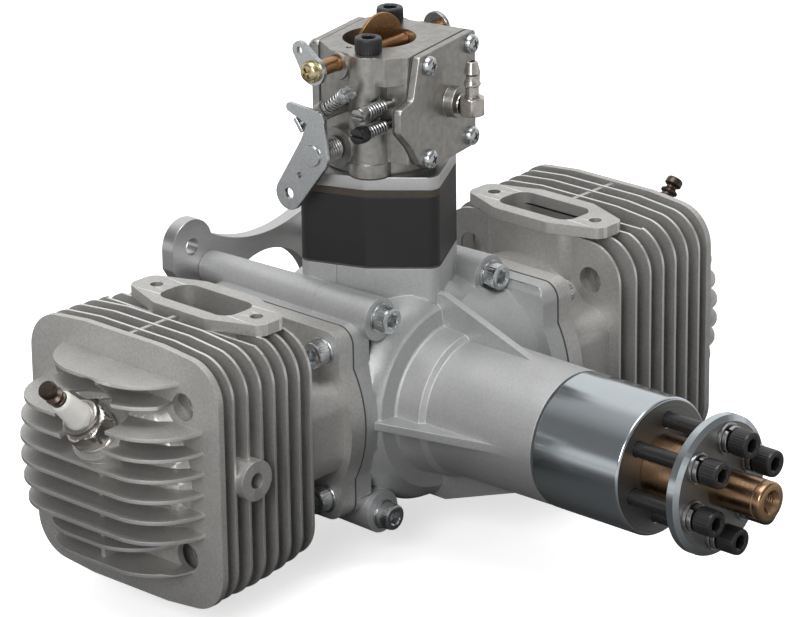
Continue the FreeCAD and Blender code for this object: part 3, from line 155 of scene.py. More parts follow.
def stepped(tree: Tree, value: Socket, stops: Points) -> Socket:
    """Turn a value from 0 to 1 into a level by way of a colour ramp.

    Args:
        tree: the tree to add it to.
        value: what drives it.
        stops: pairs of place and level, the first at 0 and the last at 1.

    Returns:
        The level's socket.
    """
    ramp = tree.nodes.new("ShaderNodeValToRGB")
    ends = (stops[0], stops[-1])
    for element, (place, level) in zip(ramp.color_ramp.elements, ends):
        element.position = place
        element.color = (level, level, level, 1.0)
    for place, level in stops[1:-1]:
        ramp.color_ramp.elements.new(place).color = (level, level, level, 1.0)
    tree.links.new(value, ramp.inputs["Fac"])
    return ramp.outputs["Color"]


@dataclass(frozen=True)
class SurfaceGroup:
    """A node group that turns Object coordinates into a tone, a roughness shift and a normal."""

    name: str
    pattern: Callable[[Tree, Socket], Socket]
    bump_distance: float
    patch_scale: float = 45.0

    def tree(self) -> Tree:
        """The group's tree, made once.

        Returns:
            The node tree.
        """
        made = bpy.data.node_groups.get(self.name)
        if made:
            return made
        tree = bpy.data.node_groups.new(self.name, "ShaderNodeTree")
        for name, way, kind in (("Strength", "INPUT", "Float"), ("Tone", "OUTPUT", "Float"),
                                ("Patches", "OUTPUT", "Float"), ("Normal", "OUTPUT", "Vector")):
            tree.interface.new_socket(name=name, in_out=way, socket_type="NodeSocket" + kind)
        entry = tree.nodes.new("NodeGroupInput")
        leave = tree.nodes.new("NodeGroupOutput")
        place = tree.nodes.new("ShaderNodeTexCoord").outputs["Object"]
        height = self.pattern(tree, place)
        patches = noise(tree, place, self.patch_scale, 4.0, 0.6)
        tree.links.new(height, leave.inputs["Tone"])
        tree.links.new(patches, leave.inputs["Patches"])
        bump = tree.nodes.new("ShaderNodeBump")
        bump.inputs["Distance"].default_value = self.bump_distance
        tree.links.new(height, bump.inputs["Height"])
        tree.links.new(entry.outputs["Strength"], bump.inputs["Strength"])
        tree.links.new(bump.outputs["Normal"], leave.inputs["Normal"])
        return tree


def sand_pattern(tree: Tree, place: Socket) -> Socket:
    """The pebbled skin of bead-blasted castings.

    Args:
        tree: the group's tree.
        place: the Object coordinates.

    Returns:
        The height's socket.
    """
    coarse = noise(tree, place, 1100.0, 3.0, 0.7)
    fine = noise(tree, place, 2800.0, 2.0, 0.5)
    return calc(tree, "ADD", calc(tree, "MULTIPLY", coarse, 0.6), calc(tree, "MULTIPLY", fine, 0.4))


def turned_pattern(tree: Tree, place: Socket) -> Socket:
    """Fine rings round the crank axis, on walls and faces alike.

    Args:
        tree: the group's tree.
        place: the Object coordinates.

    Returns:
        The height's socket.
    """
    parts = tree.nodes.new("ShaderNodeSeparateXYZ")
    tree.links.new(place, parts.inputs[0])
    across = calc(tree, "MULTIPLY", parts.outputs["X"], parts.outputs["X"])
    up = calc(tree, "MULTIPLY", parts.outputs["Z"], parts.outputs["Z"])
    radius = calc(tree, "SQRT", calc(tree, "ADD", across, up))
    line = tree.nodes.new("ShaderNodeTexNoise")
    line.noise_dimensions = "1D"
    line.inputs["Scale"].default_value = 2400.0
    line.inputs["Detail"].default_value = 3.0
    tree.links.new(calc(tree, "ADD", radius, parts.outputs["Y"]), line.inputs["W"])
    return line.outputs["Fac"]


def milled_pattern(tree: Tree, place: Socket) -> Socket:
    """Long faint scratches from a cutter's sweep.

    Args:
        tree: the group's tree.
        place: the Object coordinates.

    Returns:
        The height's socket.
    """
    stretch = tree.nodes.new("ShaderNodeMapping")
    stretch.inputs["Scale"].default_value = (0.08, 1.0, 1.0)
    stretch.inputs["Rotation"].default_value = (0.0, 0.0, math.radians(35.0))
    tree.links.new(place, stretch.inputs["Vector"])
    return noise(tree, stretch.outputs["Vector"], 2200.0, 3.0, 0.6)


def skin(scale: float, detail: float, rough: float) -> Callable[[Tree, Socket], Socket]:
    """The pattern of a smoother surface that is only a little uneven.

    Args:
        scale: the pattern's scale, in repeats a metre.
        detail: how many octaves.
        rough: how strongly the fine octaves count.

    Returns:
        The pattern.
    """
    return lambda tree, place: noise(tree, place, scale, detail, rough)


GROUPS = {
    Grain.SAND_CAST: SurfaceGroup("sand_cast_skin", sand_pattern, 0.00010),
    Grain.DIE_CAST: SurfaceGroup("die_cast_skin", skin(420.0, 4.0, 0.55), 0.00008, 80.0),
    Grain.TURNED: SurfaceGroup("turned_rings", turned_pattern, 0.00003),
    Grain.MILLED: SurfaceGroup("milled_scratches", milled_pattern, 0.00003),
    Grain.PLAIN: SurfaceGroup("plain_skin", skin(1500.0, 2.0, 0.5), 0.00003, 120.0),
}


@dataclass(frozen=True)
class Finish:
    """A material: its colour, how it was made and how it takes light."""

    name: str
    color: tuple[float, float, float]
    grain: Grain = Grain.PLAIN
    metal: float = 1.0
    rough: float = 0.4
    relief: float = 0.5
    shade: float = 0.12
    rough_shift: float = 0.10
    coat: float = 0.0

    def material(self) -> bpy.types.Material:
        """The material, made once.

        Returns:
            The Blender material.
        """
        label = "finish_" + self.name
        made = bpy.data.materials.get(label)
        if made:
            return made
        made = bpy.data.materials.new(label)
        made.use_nodes = True
        tree = made.node_tree
        shader = tree.nodes["Principled BSDF"]
        shader.inputs["Metallic"].default_value = self.metal
        shader.inputs["Coat Weight"].default_value = self.coat
        group = tree.nodes.new("ShaderNodeGroup")
        group.node_tree = GROUPS[self.grain].tree()
        group.inputs["Strength"].default_value = self.relief
        tree.links.new(self.colour(tree, group), shader.inputs["Base Color"])
        spread = calc(tree, "MULTIPLY", group.outputs["Patches"], self.rough_shift)
        rough = calc(tree, "ADD", spread, self.rough - self.rough_shift / 2)
        tree.links.new(rough, shader.inputs["Roughness"])
        tree.links.new(group.outputs["Normal"], shader.inputs["Normal"])
        return made

    def colour(self, tree: Tree, group: bpy.types.Node) -> Socket:
        """Mix the colour between a darker and a lighter tone.

        Args:
            tree: the material's tree.
            group: the surface group's node.

        Returns:
            The colour socket.
        """
        fine = calc(tree, "MULTIPLY", group.outputs["Tone"], 0.7)
        both = calc(tree, "ADD", calc(tree, "MULTIPLY", group.outputs["Patches"], 0.3), fine)
        ramp = tree.nodes.new("ShaderNodeValToRGB")
        shades = (0.36, 1.0 - self.shade), (0.64, 1.0 + self.shade)
        for element, (position, share) in zip(ramp.color_ramp.elements, shades):
            element.position = position
            element.color = (*[min(1.0, channel * share) for channel in self.color], 1.0)
        tree.links.new(both, ramp.inputs["Fac"])
        return ramp.outputs["Color"]


CAST = Finish("cast_aluminium", (0.51, 0.516, 0.514), Grain.SAND_CAST, metal=0.75, rough=0.55, relief=0.8)
FIN_CAST = Finish("cast_fins", (0.54, 0.532, 0.515), Grain.SAND_CAST,
                  metal=0.75, rough=0.52, relief=1.0, shade=0.18)
# Painted highlight: a lighter copy of the fin casting for the fins' and plates' rims.
FIN_RIM_HIGHLIGHT = Finish("fin_rims_painted_highlight", (0.82, 0.825, 0.81), Grain.SAND_CAST, rough=0.38, relief=0.4, shade=0.08)
COPPER = Finish("copper_bronze", (0.45, 0.25, 0.12), rough=0.28, relief=0.2, shade=0.15)
MACHINED = Finish("machined_aluminium", (0.62, 0.62, 0.62), Grain.MILLED, rough=0.30, relief=0.25, shade=0.05)
POLISHED = Finish("polished_aluminium", (0.56, 0.61, 0.64), Grain.TURNED,
                  rough=0.15, relief=0.10, shade=0.04, rough_shift=0.06)
# Painted shade: a darker copy of the turned metal for end faces picked by the way they face; the higher
# roughness is their own.
PAINTED_SHADE_END_FACES = Finish("end_faces_painted_shade", (0.30, 0.30, 0.295), Grain.TURNED, rough=0.5, relief=0.8)
ZINC = Finish("carburettor_zinc", (0.41, 0.40, 0.38), Grain.DIE_CAST, relief=0.7, shade=0.15)
BLOCK = Finish("black_block", (0.013, 0.013, 0.013), metal=0.0, rough=0.48, relief=0.4)
LAYER = Finish("brown_layer", (0.06, 0.045, 0.035), metal=0.0, rough=0.6, relief=0.4)
GASKET = Finish("paper_gasket", (0.075, 0.075, 0.07), metal=0.0, rough=0.8, relief=0.6)
BLACK_STEEL = Finish("blackened_steel", (0.055, 0.054, 0.055), metal=0.7, rough=0.33, relief=0.3)
BRIGHT_STEEL = Finish("zinc_plated_steel", (0.60, 0.62, 0.63), rough=0.24, relief=0.25, shade=0.10)
SPRING_STEEL = Finish("spring_steel", (0.45, 0.45, 0.45), rough=0.28, relief=0.2)
YELLOW_ZINC = Finish("yellow_zinc", (0.62, 0.52, 0.30), rough=0.26, relief=0.2, shade=0.2)
BRONZE = Finish("bronze", (0.40, 0.25, 0.145), Grain.TURNED, rough=0.26, relief=0.2, shade=0.15)
CERAMIC = Finish("plug_ceramic", (0.80, 0.79, 0.75), metal=0.0, rough=0.18, relief=0.05, shade=0.02, coat=0.5)
NICKEL = Finish("nickel_plate", (0.55, 0.52, 0.49), rough=0.20, relief=0.2)
DARK_BRONZE = Finish("dark_terminal", (0.10, 0.075, 0.06), metal=0.9, rough=0.32, relief=0.3)
HARD_STEEL = Finish("hard_steel", (0.50, 0.50, 0.51), Grain.TURNED, rough=0.2, relief=0.15)
RUBBER = Finish("seal_rubber", (0.02, 0.02, 0.02), metal=0.0, rough=0.6, relief=0.3)


# Shaping


def clock(steps: int) -> list[float]:
    """The angles of equal steps round a circle.

    Args:
        steps: how many.

    Returns:
        The angles in radians.
    """
    return [2 * math.pi * index / steps for index in range(steps)]


def hexagonal(flats: float, limit: float = math.inf) -> Rule:
    """The reach of a hexagon at each angle.

    Args:
        flats: its width across flats.
        limit: the greatest reach, where its corners are turned down.

    Returns:
        A rule from angle to reach.
    """
    sixth = math.pi / 3
    return lambda turn: min(limit, flats / 2 / math.cos((turn + sixth / 2) % sixth - sixth / 2))


def crossed(arm: float, width: float) -> Rule:
    """The reach of a cross-shaped recess at each angle.

    Args:
        arm: how far its arms reach.
        width: half their width.

    Returns:
        A rule from angle to reach.
    """
    def reach(turn: float) -> float:
        """How far the cross reaches at an angle, in radians."""
        quarter = turn % (math.pi / 2)
        fold = min(quarter, math.pi / 2 - quarter)
        return arm / math.cos(fold) if math.tan(fold) <= width / arm else width / math.sin(fold)
    return reach


def ribbed(radius: float, depth: float, ribs: int) -> Rule:
    """The reach of a ribbed rim at each angle.

    Args:
        radius: at the ribs' tops.
        depth: of the furrows.
        ribs: how many.

    Returns:
        A rule from angle to reach.
    """
    return lambda turn: radius - depth * (0.5 - 0.5 * math.cos(turn * ribs))


def towards(axis: Sequence[float], at: Sequence[float]) -> Matrix:
    """The transform that turns +Z to an axis and carries the origin to a point.

    Args:
        axis: where +Z goes.
        at: where the origin goes.

    Returns:
        The matrix.
    """
    turn = Vector(axis).normalized().to_track_quat("Z", "Y")
    return Matrix.Translation(Vector(at)) @ turn.to_matrix().to_4x4()


def beside(side: Side) -> Matrix:
    """The transform from a cylinder's own frame to the engine's.

    Args:
        side: which cylinder.

    Returns:
        The matrix.
    """
    turn = Matrix.Rotation(math.pi, 4, "Z") if side is Side.RIGHT else Matrix.Identity(4)
    return Matrix.Translation((0.0, -side.value * STAGGER, 0.0)) @ turn


def on_carb(yaw: float) -> Matrix:
    """The transform from a carburettor frame to the engine's.

    Args:
        yaw: the frame's turn about the bore, in degrees.

    Returns:
        The matrix.
    """
    return Matrix.Translation((CARB_X, 0.0, 0.0)) @ Matrix.Rotation(math.radians(yaw), 4, "Z")


def placed(name: str, data: bpy.types.ID) -> Piece:
    """Make an object and put it in the scene.

    Args:
        name: its name.
        data: its mesh, light or camera.

    Returns:
        The object.
    """
    made = bpy.data.objects.new(name, data)
    bpy.context.scene.collection.objects.link(made)
    return made


def shown(bm: bmesh.types.BMesh, name: str, finish: Finish, sharp: float) -> Piece:
    """Turn a finished mesh into an object with smooth faces, and free the mesh.

    Args:
        bm: the mesh, in metres in the row's frame.
        name: the object's name.
        finish: its material.
        sharp: the smallest angle that shades as an edge, in degrees.

    Returns:
        The object.
    """
    mesh = bpy.data.meshes.new(name)
    bm.to_mesh(mesh)
    bm.free()
    for polygon in mesh.polygons:
        polygon.use_smooth = True
    mesh.set_sharp_from_angle(angle=math.radians(sharp))
    made = placed(name, mesh)
    made.data.materials.append(finish.material())
    return made


def tied(made: Piece, body: str, node: str) -> Piece:
    """Tie an object to its body and its node.

    Args:
        made: the object.
        body: the body it moves with.
        node: the node it stands for.

    Returns:
        The same object.
    """
    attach(made, body)
    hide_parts(node)
    LOG.info("%s: %d faces", made.name, len(made.data.polygons))
    return made


class Form:
    """A mesh being shaped, in millimetres."""

    smooth: float = 35.0

    def __init__(self) -> None:
        """Start with nothing."""
        self.bm = bmesh.new()

    def lathe(self, profile: Points, place: Matrix, steps: int) -> "Form":
        """Spin an outline of (radius, height) about Z.

        Args:
            profile: the outline, from the axis out and back.
            place: where it goes.
            steps: how many steps round.

        Returns:
            This form.
        """
        verts = [self.bm.verts.new((radius, 0.0, height)) for radius, height in profile]
        edges = [self.bm.edges.new(pair) for pair in zip(verts, verts[1:])]
        if profile[0][0] > 0 or profile[-1][0] > 0:
            edges.append(self.bm.edges.new((verts[-1], verts[0])))
        spun = bmesh.ops.spin(self.bm, geom=verts + edges, cent=(0, 0, 0), axis=(0, 0, 1), angle=2 * math.pi,
                              steps=steps, use_merge=True)
        touched = set(verts) | {item for item in spun["geom_last"] if isinstance(item, bmesh.types.BMVert)}
        linked = self.island(touched)
        bmesh.ops.remove_doubles(self.bm, verts=list(linked), dist=WELD)
        kept = self.island({vert for vert in linked if vert.is_valid})
        bmesh.ops.transform(self.bm, matrix=place, verts=list(kept))
        return self

    def island(self, start: Iterable[bmesh.types.BMVert]) -> set:
        """Every vertex joined to some by edges.

        Args:
            start: the first vertices.

        Returns:
            The connected vertices.
        """
        found = set(start)
        queue = list(found)
        while queue:
            vert = queue.pop()
            for edge in vert.link_edges:
                other = edge.other_vert(vert)
                if other not in found:
                    found.add(other)
                    queue.append(other)
        return found

    def prism(self, outline: Points, low: float, high: float, place: Matrix, round_edge: float) -> "Form":
        """Raise an outline in XY into a solid with rounded edges.

        Args:
            outline: the corners.
            low: the foot's height.
            high: the top's height.
            place: where it goes.
            round_edge: how far its edges are rounded.

        Returns:
            This form.
        """
        face = self.bm.faces.new([self.bm.verts.new((x, y, low)) for x, y in outline])
        raised = bmesh.ops.extrude_face_region(self.bm, geom=[face])
        tops = [item for item in raised["geom"] if isinstance(item, bmesh.types.BMVert)]
        bmesh.ops.translate(self.bm, vec=(0, 0, high - low), verts=tops)
        edges = list({edge for vert in self.island(tops) for edge in vert.link_edges})
        made = bmesh.ops.bevel(self.bm, geom=edges, offset=round_edge, offset_type="OFFSET", segments=2,
                               profile=0.5, affect="EDGES", material=-1, clamp_overlap=True)
        verts = list(self.island({face.verts[0] for face in made["faces"]}))
        bmesh.ops.transform(self.bm, matrix=place, verts=verts)
        return self

    def coil(self, section: Points, turns: float, climb: float, place: Matrix, steps: int = 28) -> "Form":
        """Sweep a section of (radius, height) round Z while it climbs.

        Args:
            section: the closed section's corners.
            turns: how many turns.
            climb: how far it rises in all.
            place: where it goes.
            steps: how many steps a turn.

        Returns:
            This form.
        """
        count = max(6, int(turns * steps))
        verts = [self.bm.verts.new((radius, 0.0, height)) for radius, height in section]
        face = self.bm.faces.new(verts)
        swept = bmesh.ops.spin(self.bm, geom=verts + list(face.edges) + [face], cent=(0, 0, 0),
                               axis=(0, 0, 1), dvec=(0, 0, climb / count), angle=2 * math.pi * turns,
                               steps=count, use_merge=False)
        last = [item for item in swept["geom_last"] if isinstance(item, bmesh.types.BMVert)]
        bmesh.ops.transform(self.bm, matrix=place, verts=list(self.island(last)))
        return self

    def spring(self, radius: float, wire: float, turns: float, length: float, place: Matrix) -> "Form":
        """Wind a round wire round Z, with a closed turn at each end.

        Args:
            radius: from the axis to the wire's middle.
            wire: the wire's own radius.
            turns: how many open turns.
            length: the spring's whole length.
            place: where it goes.

        Returns:
            This form.
        """
        section = [(radius + wire * math.cos(turn), wire * (1.0 + math.sin(turn))) for turn in clock(10)]
        end, lead = 2 * wire, wire * 0.6
        self.coil(section, 1.0, lead, place)
        self.coil(section, turns, length - end - 1.2 * wire, place @ Matrix.Translation((0, 0, lead)))
        return self.coil(section, 1.0, lead, place @ Matrix.Translation((0, 0, length - end - lead)))

    def rings(self, rows: Sequence[tuple[Reach, float]], place: Matrix, steps: int) -> "Form":
        """Stack closed loops about Z and skin them, closing both ends.

        Args:
            rows: each loop's reach from the axis, a number or a rule of the angle, and its height.
            place: where it goes.
            steps: how many points in a loop.

        Returns:
            This form.
        """
        loops = []
        for reach, height in rows:
            loop = []
            for turn in clock(steps):
                radius = reach(turn) if callable(reach) else reach
                spot = Vector((radius * math.cos(turn), radius * math.sin(turn), height))
                loop.append(self.bm.verts.new(place @ spot))
            loops.append(loop)
        for under, over in zip(loops, loops[1:]):
            for index in range(steps):
                following = (index + 1) % steps
                self.bm.faces.new((under[index], under[following], over[following], over[index]))
        self.bm.faces.new(loops[0])
        self.bm.faces.new(loops[-1])
        return self

    def finish(self, node: str, how: str, finish: Finish, slot: str, body: str = "engine") -> Piece:
        """Turn the form into an object that stands for a node.

        Args:
            node: the node it stands for, which starts its name.
            how: how it was made, which ends its name.
            finish: its material.
            slot: the record's material slot; not used.
            body: the body it moves with.

        Returns:
            The object.
        """
        bmesh.ops.recalc_face_normals(self.bm, faces=self.bm.faces)
        to_row = Matrix.Scale(MM, 4) @ Matrix.Translation((0.0, -MOUNT_TO_MID, 0.0))
        bmesh.ops.transform(self.bm, matrix=to_row, verts=self.bm.verts)
        made = shown(self.bm, f"{node}_{how}", finish, self.smooth)
        return tied(made, body, node)


@dataclass
class PaintedRimHighlight:
    """The rims of a cylinder's plates and fins, given a lighter copy of the casting as a painted highlight.
    """

    side: Side
    finish: Finish
    reach: float = 36.3
    head: float = 104.0
    thickness: float = 1.6
    lean: float = 0.35
    inward: float = -0.2

    def paint(self, made: Piece) -> None:
        """Give the rims their own, lighter material as a painted highlight.

        Args:
            made: the cylinder's skin, in metres in the row's frame.
        """
        made.data.materials.append(self.finish.material())
        row = Matrix.Translation((0.0, MOUNT_TO_MID, 0.0)) @ Matrix.Scale(1 / MM, 4)
        back = beside(self.side).inverted() @ row
        for polygon in made.data.polygons:
            middle, normal = back @ polygon.center, polygon.normal
            corners = [made.data.vertices[index].co / MM for index in polygon.vertices]
            wide, _, tall = (max(spots) - min(spots) for spots in zip(*corners))
            if middle.x < self.head:
                outer = max(abs(middle.y), abs(middle.z)) > self.reach
                rim = outer and abs(normal.x) < self.lean and wide < self.thickness
            else:
                outer = normal.x * self.side.value > self.inward
                rim = outer and abs(normal.z) < self.lean and tall < self.thickness
            # Rim faces take the lighter material, a painted highlight.
            if rim:
                polygon.material_index = 1


@dataclass
class FrontFace:
    """The faces of a turned piece that look along the crank axis, left rougher than its wall, with a darker
    colour that is painted shade.
    """

    finish: Finish
    facing: float = 0.98

    def paint(self, made: Piece) -> None:
        """Give the end faces their own material: rougher, and darker as painted shade.

        Args:
            made: the piece's skin.
        """
        made.data.materials.append(self.finish.material())
        for polygon in made.data.polygons:
            if abs(polygon.normal.y) > self.facing:
                polygon.material_index = 1


@dataclass
class CadSkin:
    """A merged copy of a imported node, with its sharp edges rounded, that stands for the node."""

    node: str
    finish: Finish
    slot: str
    round_edge: float
    body: str = "engine"
    sharp: float = 32.0
    widest: int = 0
    accent: Optional[Union[PaintedRimHighlight, FrontFace]] = None

    def build(self, frame: dict) -> Piece:
        """Make the copy.


        Returns:
            The object that stands for the node.
        """
        bm = bmesh.new()
        bm.from_mesh(frame["nodes"][self.node].data)
        bmesh.ops.scale(bm, vec=(1 / MM, 1 / MM, 1 / MM), verts=bm.verts)
        bmesh.ops.remove_doubles(bm, verts=bm.verts, dist=NODE_WELD)
        bmesh.ops.dissolve_limit(bm, angle_limit=math.radians(FLAT_ANGLE), use_dissolve_boundaries=False,
                                 verts=bm.verts, edges=bm.edges)
        if self.widest:
            wide = [face for face in bm.faces if len(face.verts) > self.widest]
            bmesh.ops.triangulate(bm, faces=wide, quad_method="BEAUTY", ngon_method="BEAUTY")
        if self.round_edge:
            self.round(bm)
        bmesh.ops.scale(bm, vec=(MM, MM, MM), verts=bm.verts)
        made = shown(bm, self.node + "_skin", self.finish, self.sharp)
        made.modifiers.new("level_faces", "WEIGHTED_NORMAL").keep_sharp = True
        if self.accent:
            self.accent.paint(made)
        return tied(made, self.body, self.node)

    def round(self, bm: bmesh.types.BMesh) -> None:
        """Round the edges that turn by more than the sharp angle.

        Args:
            bm: the mesh, in millimetres.
        """
        limit = math.radians(self.sharp)
        edges = [edge for edge in bm.edges if len(edge.link_faces) == 2 and edge.calc_face_angle(0.0) > limit]
        bmesh.ops.bevel(bm, geom=edges, offset=self.round_edge, offset_type="OFFSET", segments=2, profile=0.5,
                        affect="EDGES", material=-1, clamp_overlap=False, loop_slide=True)


# Fasteners


def ring(bore: float, out: float, thick: float) -> Points:
    """The outline of a flat washer with worn outer edges.

    Args:
        bore: its hole's radius.
        out: its outer radius.
        thick: its thickness.

    Returns:
        The outline, as (radius, height).
    """
    return [(bore, 0), (out - 0.15, 0), (out, 0.15), (out, thick - 0.15), (out - 0.15, thick), (bore, thick)]


@dataclass(frozen=True)
class SocketScrew:
    """A socket-head screw with a ribbed head, its head above Z 0."""

    length: float
    head: float = 5.0
    head_r: float = 4.25
    shank_r: float = 2.45
    key: float = 4.0
    washer_r: float = 0.0
    washer: float = 0.0
    pitch: float = 0.8
    thread: float = 0.0

    def add(self, form: Form, place: Matrix) -> None:
        """Add one screw to a form.

        Args:
            form: what to add it to.
            place: its seat.
        """
        foot, top, rim = self.washer, self.washer + self.head, 0.55
        knurl = ribbed(self.head_r, 0.16, 30)
        well = hexagonal(self.key)
        shank, out = self.shank_r, self.head_r
        rows = [(shank - 0.5, -self.length), (shank, 0.5 - self.length), (shank, foot), (out - 0.3, foot),
                (out - 0.1, foot + 0.3), (knurl, foot + 0.6), (knurl, top - 1.0), (out - 0.05, top - 0.75),
                (out - rim * 0.35, top - 0.2), (out - rim, top), (self.key / 2 + 0.55, top),
                (well, top - 0.35), (well, top - self.head * 0.55), (0.3, top - self.head * 0.62)]
        form.rings(rows, place, 120)
        if self.washer:
            form.lathe(ring(shank + 0.2, self.washer_r, foot), place, 40)
        if self.thread:
            ridge = [(shank - 0.1, 0.0), (shank + 0.02, 0.35 * self.pitch), (shank - 0.1, 0.7 * self.pitch)]
            foot_of = place @ Matrix.Translation((0, 0, -self.length))
            form.coil(ridge, self.thread / self.pitch, self.thread, foot_of, 20)


@dataclass(frozen=True)
class PanScrew:
    """A pan-head screw with a cross recess, its head above Z 0."""

    head_r: float = 3.1
    head: float = 2.3
    shank_r: float = 1.45
    length: float = 8.0
    turn: float = 20.0

    def add(self, form: Form, place: Matrix) -> None:
        """Add one screw to a form.

        Args:
            form: what to add it to.
            place: its seat.
        """
        shank, out, top = self.shank_r, self.head_r, self.head
        cross = crossed(out * 0.52, out * 0.13)
        rows = [(shank - 0.3, -self.length), (shank, 0.3 - self.length), (shank, 0.0), (out - 0.12, 0.0),
                (out, 0.15), (out, 0.7), (out * 0.95, top * 0.62), (out * 0.82, top * 0.85),
                (out * 0.66, top * 0.97), (cross, top), (cross, top * 0.62), (0.15, top * 0.30)]
        form.rings(rows, place @ Matrix.Rotation(math.radians(self.turn), 4, "Z"), 48)


@dataclass(frozen=True)
class ScrewSet:
    """Alike screws that stand for one node."""

    node: str
    screw: Union[SocketScrew, PanScrew]
    places: tuple[Matrix, ...]
    finish: Finish
    slot: str
    body: str = "engine"

    def build(self) -> Piece:
        """Make the set.

        Returns:
            The object that stands for the node.
        """
        form = Form()
        for place in self.places:
            self.screw.add(form, place)
        return form.finish(self.node, "set", self.finish, self.slot, self.body)


def four(x: float, z: float) -> list[tuple[float, float]]:
    """The four places (+-x, +-z).

    Args:
        x: the first distance.
        z: the second distance.

    Returns:
        The pairs.
    """
    return [(sx * x, sz * z) for sx in (-1, 1) for sz in (-1, 1)]


@dataclass(frozen=True)
class Crankcase:
    """The screws that hold the case and the cylinders."""

    bolt_x: float = 25.6
    bolt_y: float = -23.5
    bolt_z: float = 33.1
    flange_top: float = 42.4
    foot_y: float = 25.7
    foot_z: float = 24.5

    def build(self) -> None:
        """Make both sets."""
        long_screw = SocketScrew(42.0, head=4.6, washer_r=4.75, washer=0.7)
        short_screw = SocketScrew(12.3, head=4.6, washer_r=4.85, washer=0.8)
        case = tuple(towards((0, -1, 0), (x, self.bolt_y, z)) for x, z in four(self.bolt_x, self.bolt_z))
        feet = tuple(beside(side) @ towards((1, 0, 0), (self.flange_top, y, z))
                     for side in Side for y, z in four(self.foot_y, self.foot_z))
        ScrewSet("case_bolts", long_screw, case, BRIGHT_STEEL, "bright_steel").build()
        ScrewSet("cylinder_bolts", short_screw, feet, BRIGHT_STEEL, "bright_steel").build()


# Spark plugs


@dataclass(frozen=True)
class SparkPlug:
    """One plug: threaded steel body with its hexagon, ribless ceramic and waisted terminal."""

    side: Side
    seat: tuple[float, float, float] = (114.4, 0.0, 12.9)
    tilt: float = 45.0
    reach: float = 16.0
    flats: float = 14.0

    def place(self) -> Matrix:
        """The plug's own frame.

        Returns:
            The matrix, with Z outward from the seat.
        """
        tilt = math.radians(self.tilt)
        return beside(self.side) @ towards((math.cos(tilt), 0.0, math.sin(tilt)), self.seat)

    def node(self, part: str) -> str:
        """The node of one of its parts.

        Args:
            part: the part's name.

        Returns:
            The node's name.
        """
        return f"{self.side.name.lower()}_plug_{part}"

    def shell(self) -> None:
        """The body with its seal ring, hexagon, rolled collar and thread."""
        form, place = Form(), self.place()
        nut = hexagonal(self.flats)
        chamfer = self.flats / 2 + 0.15
        cut = hexagonal(self.flats, chamfer + 0.35)
        rows = [(4.2, -self.reach), (4.85, 0.6 - self.reach), (4.85, 0.0), (6.6, 0.0), (6.6, 1.5),
                (chamfer - 0.2, 1.5), (cut, 1.9), (nut, 2.5), (nut, 7.5), (cut, 8.1), (chamfer - 0.3, 8.4),
                (6.1, 8.6), (6.35, 9.0), (6.35, 9.9), (6.0, 10.5), (5.2, 10.8), (4.6, 10.8), (4.6, 10.4)]
        form.rings(rows, place, 72)
        form.lathe([(5.2, 0.0), (6.9, 0.0), (7.25, 0.3), (7.25, 1.1), (6.9, 1.4), (5.2, 1.4)], place, 48)
        ridge, length = [(4.75, 0.0), (5.0, 0.35), (4.75, 0.7)], self.reach - 2.0
        form.coil(ridge, length, length, place @ Matrix.Translation((0, 0, 0.8 - self.reach)), 24)
        form.finish(self.node("shell"), "turned", NICKEL, "bright_steel")

    def insulator(self) -> None:
        """The ceramic."""
        outline = [(0, 10.5), (4.55, 10.5), (4.65, 11.6), (4.45, 12.6), (4.2, 13.2), (3.7, 20.4), (3.4, 21.2),
                   (2.9, 21.6), (0, 21.6)]
        Form().lathe(outline, self.place(), 48).finish(self.node("insulator"), "glazed", CERAMIC, "ceramic")

    def terminal(self) -> None:
        """The waisted cap."""
        outline = [(0, 21.5), (2.6, 21.5), (2.75, 21.7), (2.75, 22.5), (2.2, 22.8), (2.1, 23.3), (2.9, 23.9),
                   (3.0, 24.5), (2.3, 25.0), (1.75, 25.4), (1.75, 26.2), (2.5, 26.6), (2.9, 26.9),
                   (2.9, 28.6), (2.5, 29.2), (1.6, 29.3), (0, 29.3)]
        form = Form().lathe(outline, self.place(), 40)
        form.finish(self.node("terminal"), "cap", DARK_BRONZE, "bright_steel")

    def build(self) -> None:
        """Make the three pieces."""
        self.shell()
        self.insulator()
        self.terminal()


# Carburettor


@dataclass(frozen=True)
class Needle:
    """An adjusting screw with its spring, both along one line."""

    node: str
    spring_node: str
    at: tuple[float, float, float]
    aim: tuple[float, float, float]
    body: str
    finish: Finish
    slot: str
    head_r: float = 2.4
    head: float = 4.2
    tip: float = 9.0
    reach: float = 8.4
    spring_r: float = 1.95
    wire_r: float = 0.32
    turns: float = 6.0

    def build(self) -> None:
        """Make the screw and the spring."""
        place = on_carb(SHAFT_YAW) @ towards(self.aim, self.at)
        form, out = Form(), self.head_r
        low, high = self.reach, self.reach + self.head
        rim = ribbed(out, 0.14, 24)
        rows = [(0.3, -self.tip), (1.1, 1.2 - self.tip), (1.25, 1.8 - self.tip), (1.25, low - 0.5),
                (out - 0.5, low), (out - 0.1, low + 0.3), (rim, low + 0.6), (rim, high - 1.5),
                (out - 0.15, high - 1.2), (out - 0.25, high - 1.0)]
        form.rings(rows, place, 96)
        half = [((out - 0.25) * math.cos(turn), 0.4 + (out - 0.65) * math.sin(turn))
                for turn in [math.pi * step / 12 for step in range(13)]]
        for start in (0.0, math.pi):
            form.prism(half, high - 1.02, high, place @ Matrix.Rotation(start, 4, "Z"), 0.12)
        form.finish(self.node, "turned", self.finish, self.slot, self.body)
        foot = place @ Matrix.Translation((0, 0, 0.05))
        coil = Form().spring(self.spring_r, self.wire_r, self.turns, self.reach - 0.1, foot)
        coil.finish(self.spring_node, "wound", SPRING_STEEL, "bright_steel")


